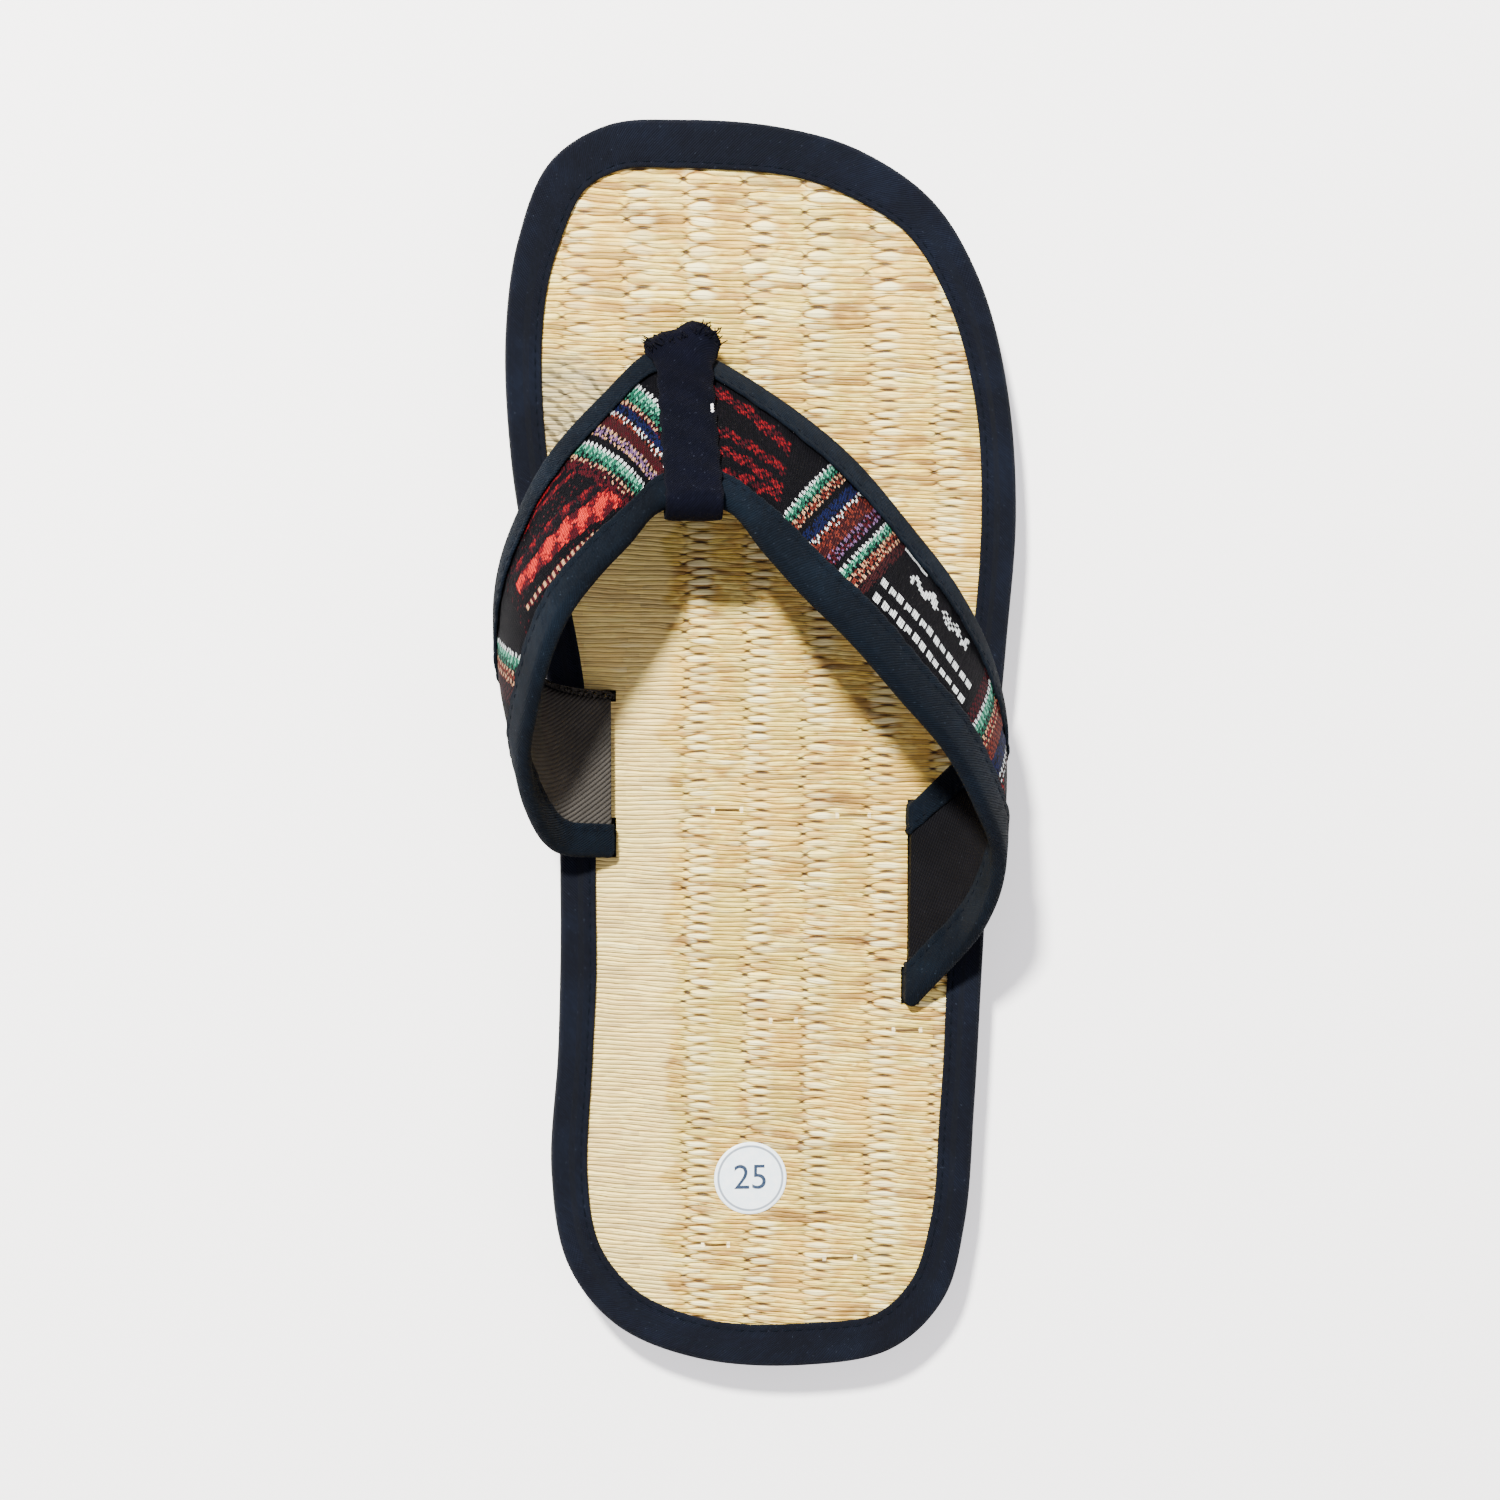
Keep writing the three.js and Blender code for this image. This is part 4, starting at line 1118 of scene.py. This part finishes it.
# strap tapes
def makeStrapTape(name, isRear):
    s = strap
    line = strapLine
    along, padding = line[4], line[5]
    clothWide = strapWide - 2 * s["clothInset"]
    reach = tapeReach(isRear, along) + 0.15 * ripple(along, 31 if isRear else 37, 14)
    rounding = np.linspace(0, np.pi, 9)
    innerRadius = s["edgeWall"] / 2 + s["tapeGap"]
    radius = innerRadius + s["tapeWall"]
    # on the grey brown lining the front tape's inner leg is short
    shortLeg = np.ones(len(along)) if isRear else 1 - 0.8 * smoothStep(-along, 70, 78)

    def contour(offset, sink, reach):
        rows = []
        for fromEdge in (7.0, 6.6, 5.9, 5.3, 4.4, 3.4, 2.5):
            scaled = fromEdge / s["tapeWidth"] * reach
            share = np.clip((scaled - s["clothInset"]) / clothWide, 0, 1)
            lift = padHalf(share, padding) + s["tapeGap"] + offset
            wave = 0.16 * ripple(along, 3 if isRear else 7, 3.6) * min(1, max(0, (fromEdge - 2) / 4))
            stitch = -sink * math.exp(-((fromEdge - 5.6) / 0.5) ** 2)
            end = -0.22 if fromEdge > 6.9 and sink else 0.0
            rows.append((scaled, lift + wave * (1 if sink else 0.6) + stitch + end))
        return rows

    def bend(size, angles):
        return [(np.full(len(along), radius - size * math.sin(t)), np.full(len(along), size * math.cos(t)))
                for t in angles]

    def turned(rows):
        return [(f, -l) for f, l in rows]

    # round the section: over the top, round the edge, back below, then the same inside
    stitchSink = 0.22
    section = contour(s["tapeWall"], stitchSink, reach) + bend(radius, rounding)
    section += turned(contour(s["tapeWall"], stitchSink, reach * shortLeg)[::-1])
    section += turned(contour(0.0, 0.0, reach * shortLeg)) + bend(innerRadius, rounding[::-1])
    section += contour(0.0, 0.0, reach)[::-1]
    fromEdge = np.stack([f for f, _ in section], axis=1)
    lift = np.stack([l for _, l in section], axis=1)
    fromFront = strapWide[:, None] - fromEdge if isRear else fromEdge
    rings = strapSurface(line, fromFront, lift)
    mid = rings[len(rings) // 2]
    around = lengths(mid, True)
    piece = sweep(name, rings, strapTapeMaterial, (along - along[0]) * mm, around * mm)
    if not isRear:
        # there part of the front tape takes the same grey brown
        piece.data.materials.append(greyBrownMaterial)
        count = rings.shape[1]
        for n in range((len(rings) - 1) * count):
            i, k = divmod(n, count)
            if along[i] < strap["rubbedFrom"] and 12 <= k < 24:
                piece.data.polygons[n].material_index = 1
    return piece


# stitches: spacing, length and thickness of the thread
stitches = {"mat": (2.5, 1.8, 0.34), "strap": (2.4, 1.7, 0.32), "tab": (0.5, 0.9, 0.7)}


def makeStitchTree():
    tree, into, out = newGroup("stitchRow", "GeometryNodeTree",
                               [("Geometry", "Geometry", None), ("Spacing", "Float", 0.0026),
                                ("Stitch Length", "Float", 0.0017), ("Thread", "Float", 0.00045),
                                ("Seed", "Int", 1), ("Material", "Material", None)],
                               [("Geometry", "Geometry")])
    curve = addNode(tree, "GeometryNodeMeshToCurve")
    plug(tree, curve.inputs["Mesh"], into.outputs["Geometry"])
    steps = addNode(tree, "GeometryNodeResampleCurve", mode="LENGTH")
    plug(tree, steps.inputs["Curve"], curve.outputs[0])
    plug(tree, steps.inputs["Length"], into.outputs["Spacing"])
    thread = addNode(tree, "GeometryNodeMeshUVSphere")
    thread.inputs["Segments"].default_value = 6
    thread.inputs["Rings"].default_value = 4
    thread.inputs["Radius"].default_value = 0.5
    turn = addNode(tree, "FunctionNodeAlignRotationToVector", axis="X")
    way = addNode(tree, "GeometryNodeInputTangent")
    plug(tree, turn.inputs["Vector"], way.outputs[0])
    vary = addNode(tree, "FunctionNodeRandomValue", data_type="FLOAT")
    low = [s for s in vary.inputs if s.name == "Min" and s.type == "VALUE"][0]
    high = [s for s in vary.inputs if s.name == "Max" and s.type == "VALUE"][0]
    low.default_value, high.default_value = 0.85, 1.12
    plug(tree, vary.inputs["Seed"], into.outputs["Seed"])
    value = [s for s in vary.outputs if s.type == "VALUE"][0]
    size = addNode(tree, "ShaderNodeCombineXYZ")
    plug(tree, size.inputs[0], NodeValue(tree, into.outputs["Stitch Length"]) * value)
    plug(tree, size.inputs[1], into.outputs["Thread"])
    plug(tree, size.inputs[2], into.outputs["Thread"])
    put = addNode(tree, "GeometryNodeInstanceOnPoints")
    plug(tree, put.inputs["Points"], steps.outputs[0])
    plug(tree, put.inputs["Instance"], thread.outputs["Mesh"])
    plug(tree, put.inputs["Rotation"], turn.outputs[0])
    plug(tree, put.inputs["Scale"], size.outputs[0])
    return finishGroup(tree, into, out, put, ("GeometryNodeSetShadeSmooth",))


stitchTree = makeStitchTree()


def makeThreadMaterial(name, colour, lighter):
    material, tree, shader, place = newMaterial(name)
    twist = noiseAt(tree, place.outputs["Object"], 2600.0, 2.0)
    colour = blendColour(tree, spread(tree, twist, 0.35, 0.7), inks(*colour), inks(*lighter))
    finishMaterial(tree, shader, colour, 0.8, 0.04, bumpFrom(tree, twist, 0.0001, 0.6))
    return material


def makeStitches(name, kind, lines, material, seed, closed=False):
    spacing, length, thread = stitches[kind]
    path = growNodes(makePath(name + "Path", lines, closed), stitchTree, Spacing=spacing * mm,
                     StitchLength=length * mm, Thread=thread * mm, Seed=seed, Material=material)
    return flatten(path, name, material)


# tape round the mat
def makeMatTape():
    line, inward, tape = outlineLine(matTape["stations"])
    far = lengths(line, True)
    top = matTop + matTape["wall"]
    base = shoe["soleThickness"] + 0.05
    wave = ripple(far[:-1], 12, 4.4)
    slow = ripple(far[:-1], 15, 30)
    edge = tape + 0.22 * slow
    # set back from the outline and height, from the foot of the outer wall round to the inner face
    rows = [(0.05, base), (0.0, base + 1.1), (0.02, top - 0.9), (0.3, top - 0.25), (0.9, top + 0.02)]
    rows += [(w, top + 0.05) for w in (2.2, 3.6)]
    flat = np.ones(len(line))
    section = [(flat * s, flat * z) for s, z in rows]
    for back, lift in ((2.6, 0.05), (1.9, -0.02), (1.3, -0.24), (0.75, 0.0), (0.3, -0.05), (0.0, -0.35)):
        section.append((edge - back, top + lift + 0.13 * wave * (1 - min(1, back / 3))))
    low = flat * (matTop - 0.05)
    section += [(edge - 0.1, low), (flat, low), (flat * 0.9, flat * base)]
    back = np.stack([s for s, _ in section], axis=1)
    high = np.stack([z for _, z in section], axis=1)
    rings = np.zeros((len(line), len(section), 3))
    rings[:, :, :2] = line[:, None, :] + inward[:, None, :] * back[..., None]
    rings[:, :, 2] = high
    around = lengths(rings[0], True)
    piece = sweep("matTape", rings, matTapeMaterial, far * mm, around * mm, closedPath=True)
    stitch = line + inward * (edge - matTape["stitchInset"])[:, None]
    return piece, np.column_stack([stitch, flat * (top - 0.16)])


# toe tab
toeTab = {
    "width": 11.3, "frontWidth": 15.6, "flare": 4.5, "shift": -0.45, "lean": -0.7, "wall": 1.2, "tuck": 2.7,
    "leftDrop": 4.1, "rightDrop": 3.4, "peak": 0.31, "forward": 2.2, "frayThreads": 110, "frayThread": 0.13,
    "gap": 0.15, "legGap": 0.3, "leftSag": 0.55, "rightSag": 1.15, "lap": 0.35, "underFill": 0.85,
    # points round the rear edge, over the top and round the front edge
    "rearSteps": 14, "topSteps": 33, "frontSteps": 8,
}


def tabRise(c):
    # the tab sinks to the strap beside its middle, and one side of its cloth laps over the other
    sag = toeTab["rightSag"] * max(0, c) ** 1.5 + toeTab["leftSag"] * max(0, -c) ** 1.5
    return -sag, toeTab["lap"] / (1 + math.exp(-(c - 0.3) * 26))


def tabDrop(c):
    # the front end is cut to a peak right of its middle
    leftOf = min(1, max(0, (toeTab["peak"] - c) / (1 + toeTab["peak"])))
    rightOf = max(0, (c - 0.5) / 0.5) ** 1.4
    return toeTab["leftDrop"] * leftOf + toeTab["rightDrop"] * rightOf - toeTab["forward"]


def makeToeTab():
    t = toeTab
    v = int(np.argmin(abs(strapLine[4])))
    f, r = strapLine[0][v], strapLine[1][v]
    front, rear = np.array([f[1], f[2]]), np.array([r[1], r[2]])
    way = (rear - front) / np.linalg.norm(rear - front)
    out = np.array([way[1], -way[0]])
    reach = strap["wall"] / 2 + strap["crown"] + t["gap"] + t["wall"] / 2
    frontLeg = front[0] + reach
    rearLeg = frontLeg - t["wall"] - t["legGap"]
    underFront = front - out * reach
    corner = underFront + way * ((rearLeg - underFront[0]) / way[0])
    angle = math.atan2(out[1], out[0])

    def arc(centre, a0, a1, steps, tuck):
        return [centre + out * reach * math.cos(a) + way * tuck * math.sin(a)
                for a in np.linspace(a0, a1, steps + 1)]

    path = [np.array([rearLeg, shoe["soleThickness"]])]
    path += [path[0] * (1 - w) + corner * w for w in (0.5, 1)]
    path += arc(rear, math.pi, 0, t["rearSteps"], t["tuck"])
    topStart = len(path) - 1
    rise = out * reach
    path += [(rear + rise) * (1 - w) + (front + rise) * w for w in np.linspace(0, 1, t["topSteps"] + 1)[1:-1]]
    topEnd = len(path)
    path += arc(front, 0, -angle, t["frontSteps"], reach)
    foot = np.array([frontLeg, shoe["soleThickness"]])
    path += [path[-1] * (1 - w) + foot * w for w in (0.4, 1)]
    path = np.array(path)
    far = lengths(path)
    ways = unit(np.gradient(path, axis=0))
    middleAcross = f[0] + t["shift"]
    # the cloth flares where it turns down at the front
    frontIndex = topEnd + t["frontSteps"] // 2 - 1
    frontPlace = far[frontIndex]
    flare = np.exp(-((far - frontPlace) / t["flare"]) ** 2)
    widths = t["width"] + (t["frontWidth"] - t["width"]) * flare
    lean = t["lean"] * np.clip((far - far[topStart]) / (frontPlace - far[topStart]), 0, 1.1)
    cut = np.linspace(-1, 1, 15)
    rings = []
    for k, (p, w) in enumerate(zip(path, ways)):
        normal = np.array([-w[1], w[0]])
        ring = []
        onTop = 1.0 if topStart <= k <= topEnd else 0.0
        resting = smoothStep(k, topStart - 5, topStart + 3) * (1 - smoothStep(k, topEnd - 4, topEnd + 4))
        atFront = smoothStep(k, topEnd - 6, topEnd) * (1 - smoothStep(k, topEnd + 7, topEnd + 10))
        for side in (-1, 1):
            for c in (cut if side < 0 else cut[::-1]):
                bevel = 1 - 0.55 * abs(c) ** 6
                sag, lap = tabRise(c)
                lift = side * t["wall"] / 2 * bevel + sag * resting
                if side > 0:
                    lift += onTop * (lap + 0.16 * math.sin(far[k] * 0.9 + 3 * c))
                else:
                    # the under side fills the dips of the pad below it
                    lift -= t["underFill"] * resting * (1 - abs(c) ** 6)
                x = middleAcross + lean[k] + c * widths[k] / 2
                if abs(c) > 0.9:
                    x += 0.25 * math.sin(far[k] * 1.3 + side) * onTop
                q = p + normal * lift
                ring.append((x, q[0] - atFront * tabDrop(c) + 0.25 * atFront * math.sin(c * 9), q[1]))
        rings.append(ring)
    rings = np.array(rings)
    piece = sweep("toeTabCloth", rings, tabMaterial, far * mm, lengths(rings[20], True) * mm)
    return piece, {"path": path, "ways": ways, "across": middleAcross, "lean": lean, "widths": widths,
                   "topStart": topStart, "topEnd": topEnd, "frontIndex": frontIndex}


def makeFrayTree():
    tree, into, out = newGroup("frayedThreads", "GeometryNodeTree",
                               [("Geometry", "Geometry", None), ("Thread", "Float", 0.00016),
                                ("Material", "Material", None)],
                               [("Geometry", "Geometry")])
    curve = addNode(tree, "GeometryNodeMeshToCurve")
    plug(tree, curve.inputs["Mesh"], into.outputs["Geometry"])
    profile = addNode(tree, "GeometryNodeCurvePrimitiveCircle", mode="RADIUS")
    profile.inputs["Resolution"].default_value = 4
    plug(tree, profile.inputs["Radius"], into.outputs["Thread"])
    skin = addNode(tree, "GeometryNodeCurveToMesh")
    plug(tree, skin.inputs["Curve"], curve.outputs[0])
    plug(tree, skin.inputs["Profile Curve"], profile.outputs["Curve"])
    skin.inputs["Fill Caps"].default_value = True
    return finishGroup(tree, into, out, skin)


def makeFray(tab, material):
    rng = np.random.default_rng(4)
    k = tab["frontIndex"]
    p, w = tab["path"][k - 2], tab["ways"][k]
    out = np.array([-w[1], w[0]])
    threads = []
    for _ in range(toeTab["frayThreads"]):
        c = rng.uniform(-1, 1)
        x = tab["across"] + tab["lean"][k] + c * toeTab["frontWidth"] / 2
        start = p + out * rng.uniform(-0.4, 0.5) + w * rng.uniform(-2.5, 1.0) - np.array([tabDrop(c), 0.0])
        reach = rng.uniform(0.8, 2.3)
        side = rng.uniform(-0.8, 0.8) + 0.7 * c
        bend = rng.uniform(-0.5, 0.5)
        thread = []
        for s in np.linspace(0, 1, 5):
            q = start + w * reach * s * 0.9 + out * (0.5 * s - 0.35 * s * s + bend * s * s)
            thread.append((x + side * s * reach * 0.8 + bend * math.sin(s * 3), *q))
        threads.append(thread)
    source = growNodes(makePath("tabFrayPath", threads), makeFrayTree(), Thread=toeTab["frayThread"] * mm,
                       Material=material)
    return flatten(source, "toeTabFray", material)


# size sticker
sticker = {
    "diameter": 15.3, "across": -0.03, "along": -0.346, "ring": 6.75,
    "number": "25", "numberSize": 7.4, "inkWall": 0.02,
}


def makeStickerMaterial(centre):
    material, tree, shader, place = newMaterial("stickerPaper")
    x, y, _ = splitVector(tree, place.outputs["Object"])
    dx, dy = x * (1 / mm) - centre[0], y * (1 / mm) - centre[1]
    radius = maths(tree, "SQRT", dx * dx + dy * dy)
    off = maths(tree, "ABSOLUTE", radius - sticker["ring"])
    ring = spread(tree, off, 0.16, 0.3, 0.75, 0.0)
    pulp = noiseAt(tree, place.outputs["Object"], 700.0, 3.0)
    paper = blendColour(tree, spread(tree, pulp, 0.35, 0.7), inks(222, 236, 244), inks(236, 244, 248))
    finishMaterial(tree, shader, blendColour(tree, ring, paper, inks(60, 74, 92)),
                   spread(tree, pulp, 0.3, 0.7, 0.3, 0.42), None, bumpFrom(tree, pulp, 0.00005, 0.4))
    return material


def makeSticker():
    radius, steps = sticker["diameter"] / 2, 72
    centre = (sticker["across"] * shoe["heelWidth"] + shoe["middleShift"], sticker["along"] * shoe["length"])
    low = matTop + 0.02
    rings = [(radius - 0.05, low), (radius, low + 0.06), (radius - 0.08, low + 0.16)]
    rings += [(r, low + 0.18) for r in (radius - 0.6, 5.5, 3.8, 1.9)]
    points = []
    for r, z in rings:
        for a in 2 * math.pi * np.arange(steps) / steps:
            rise = 0.05 * math.sin(2 * a) * r / radius
            points.append((centre[0] + r * math.cos(a), centre[1] + r * math.sin(a), z + rise))
    last = (len(rings) - 1) * steps
    points.append((centre[0], centre[1], low + 0.18))
    faces = ringFaces(len(rings) - 1, steps, len(rings))
    faces += [(last + k, last + (k + 1) % steps, len(points) - 1) for k in range(steps)]
    faces.append(list(range(steps - 1, -1, -1)))
    piece = makePiece("sizeSticker", points, faces, makeStickerMaterial(centre))
    turnOutwards(piece)
    text = bpy.data.curves.new("sizeNumberText", "FONT")
    text.body = sticker["number"]
    text.size = sticker["numberSize"] * mm
    text.align_x = "CENTER"
    text.align_y = "CENTER"
    text.extrude = sticker["inkWall"] * mm
    ink = makeThreadMaterial("stickerInk", (40, 52, 70), (54, 66, 84))
    number = flatten(addObject("sizeNumberText", text), "sizeNumber", ink)
    for v in number.data.vertices:
        v.co += Vector((centre[0] * mm, centre[1] * mm, (low + 0.21) * mm))
    return piece, number


# put the pieces together
def keep(piece, slot, *nodes):
    if nodes:
        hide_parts(*nodes)
    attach(piece, "root")
    return piece


def slotCorners(centre, way, halfLength, halfWidth, reaches=None):
    side = np.array([-way[1], way[0]])
    corners = [(-1.0, -1.0), (1.0, -1.0), (1.0, 1.0), (-1.0, 1.0)]
    if reaches:
        # wide only where the tapes pass: front and rear on one side, rear and front on the other
        a, b, c, d = [reach / halfLength for reach in reaches]
        step, waist = 0.5 / halfLength, 0.62
        corners = [(-1.0, -1.0), (a - 1, -1.0), (a - 1 + step, -waist), (1 - b - step, -waist),
                   (1 - b, -1.0), (1.0, -1.0), (1.0, 1.0), (1 - c, 1.0), (1 - c - step, waist),
                   (d - 1 + step, waist), (d - 1, 1.0), (-1.0, 1.0)]
    return [centre + way * a * halfLength + side * b * halfWidth for a, b in corners]


def makeSlots(tabLegs):
    slots = []
    for end, reaches in ((6, (8.0, 8.0, 8.0, 2.2)), (len(strapWide) - 7, (8.0, 8.0, 8.0, 8.0))):
        f, r = strapLine[0][end][:2], strapLine[1][end][:2]
        way = (r - f) / np.linalg.norm(r - f)
        slots.append(slotCorners((f + r) / 2, way, np.linalg.norm(r - f) / 2 + 0.1, 1.75, reaches))
    slots.append(slotCorners(tabLegs, np.array([1.0, 0.0]), toeTab["width"] / 2 + 0.2, 1.5))
    return slots


tabPiece, tabForm = makeToeTab()
legs = np.array([tabForm["across"], (tabForm["path"][0][0] + tabForm["path"][-1][0]) / 2])
matPiece = keep(makeMat(makeSlots(legs)), "rush_mat", "insole_mat")
print("slipper: mat", len(matPiece.data.polygons))

tapePiece, matStitchLine = makeMatTape()
keep(tapePiece, "edge_tape", "mat_binding")
darkThread = makeThreadMaterial("darkThread", (5, 8, 14), (11, 16, 24))
keep(makeStitches("matTapeStitches", "mat", [matStitchLine], darkThread, 3, closed=True), "edge_tape")

strapPiece = makeStrap()
keep(strapPiece, "strap_cloth", "upper_strap")
print("slipper: strap", len(strapPiece.data.polygons))
keep(makeStrapTape("frontStrapTape", False), "strap_tape", "strap_binding_front")
keep(makeStrapTape("rearStrapTape", True), "strap_tape", "strap_binding_rear")


def strapStitchLine(isRear, side):
    line = strapLine
    clothWide = strapWide - 2 * strap["clothInset"]
    fromEdge = tapeReach(isRear, line[4]) * 0.8
    share = np.clip((fromEdge - strap["clothInset"]) / clothWide, 0, 1)
    wave = 0.16 * ripple(line[4], 3 if isRear else 7, 3.6) * 0.9
    lift = side * (padHalf(share, line[5]) + strap["tapeGap"] + strap["tapeWall"] + wave - 0.16)
    fromFront = strapWide - fromEdge if isRear else fromEdge
    stitches = strapSurface(line, fromFront[:, None], lift[:, None])[6:-6, 0]
    return stitches if isRear or side > 0 else stitches[line[4][6:-6] > -68]


for name, isRear, seed in (("frontTapeStitches", False, 5), ("rearTapeStitches", True, 8)):
    lines = [strapStitchLine(isRear, side) for side in (1, -1)]
    keep(makeStitches(name, "strap", lines, darkThread, seed), "strap_tape")
keep(tabPiece, "tab_cloth", "toe_tab")
keep(makeFray(tabForm, tabMaterial), "tab_cloth")


def tabStitchLine(along, c):
    # one pale stitch shows on the right edge of the tab
    first = tabForm["topStart"]
    k = int(np.argmin(abs(tabForm["path"][first:tabForm["topEnd"], 0] - along))) + first
    p, w = tabForm["path"][k], tabForm["ways"][k]
    top = p + np.array([-w[1], w[0]]) * (toeTab["wall"] / 2 + sum(tabRise(c)) + 0.1)
    x = tabForm["across"] + tabForm["lean"][k] + c * tabForm["widths"][k] / 2
    return np.array([(x, *(top + w * step)) for step in (-0.7, 0.7)])


paleThread = makeThreadMaterial("paleThread", (216, 218, 220), (240, 240, 240))
keep(makeStitches("tabStitch", "tab", [tabStitchLine(68.9, 0.86)], paleThread, 2), "tab_cloth")
stickerPiece, numberPiece = makeSticker()
keep(stickerPiece, "sticker_paper", "size_sticker")
keep(numberPiece, "sticker_paper")
print("slipper: tapes, stitches, tab and sticker")


# floor, light and camera
setting = {
    "camera": (-60.3, 29.3, 614.4), "target": (-1.0, 0.0, 14.0), "lens": 69.5,
    # lamps: direction they come from, distance and size in metres, power
    "lamps": {"keySoftbox": ((-0.34, 0.6, 1.0), 1.5, 0.14, 104.0),
              "fillSoftbox": ((0.7, -0.5, 0.8), 1.8, 1.2, 6.0)},
    "lampColour": (1.0, 0.975, 0.92), "airColour": (1.0, 0.93, 1.04, 1.0), "airStrength": 0.8,
    "floorSize": 30000.0, "floorStrength": 0.7,
}


def makeFloor():
    size = setting["floorSize"]
    corners = [(x * size, y * size, -0.02) for x, y in ((-1, -1), (1, -1), (1, 1), (-1, 1))]
    floor = makePiece("paleFloor", corners, [(0, 1, 2, 3)], None, smooth=False)
    material, tree, shader, place = newMaterial("palePaper")
    cloud = noiseAt(tree, place.outputs["Object"], 5.0, 2.0)
    paper = blendColour(tree, cloud, (0.9, 0.9, 0.905, 1), (0.93, 0.93, 0.93, 1))
    finishMaterial(tree, shader, paper, 0.9, None, None)
    glow = blendColour(tree, cloud, (0.97, 0.97, 0.975, 1), (1.0, 1.0, 1.0, 1))
    plug(tree, shader.inputs["Emission Color"], glow)
    shader.inputs["Emission Strength"].default_value = setting["floorStrength"]
    floor.data.materials.append(material)


def makeLights():
    middle = Vector((0, 0, 0.02))
    for name, (way, far, size, power) in setting["lamps"].items():
        way = Vector(way).normalized()
        light = bpy.data.lights.new(name, "AREA")
        light.shape = "DISK"
        light.size = size
        light.energy = power
        light.color = setting["lampColour"]
        holder = addObject(name, light)
        holder.location = middle + way * far
        holder.rotation_euler = (-way).to_track_quat("-Z", "Y").to_euler()
    world = bpy.data.worlds.new("studioAir")
    world.use_nodes = True
    air = world.node_tree.nodes["Background"]
    air.inputs["Color"].default_value = setting["airColour"]
    air.inputs["Strength"].default_value = setting["airStrength"]
    bpy.context.scene.world = world


def makeCamera():
    lens = bpy.data.cameras.new("photoLens")
    lens.lens = setting["lens"]
    lens.sensor_width = 36
    lens.clip_start = 0.01
    camera = addObject("photoCamera", lens)
    where, target = Vector(setting["camera"]) * mm, Vector(setting["target"]) * mm
    camera.location = where
    ahead = (target - where).normalized()
    right = ahead.cross(Vector((0, 1, 0))).normalized()
    up = right.cross(ahead)
    camera.rotation_euler = Matrix((right, up, -ahead)).transposed().to_euler()
    bpy.context.scene.camera = camera


makeFloor()
makeLights()
makeCamera()
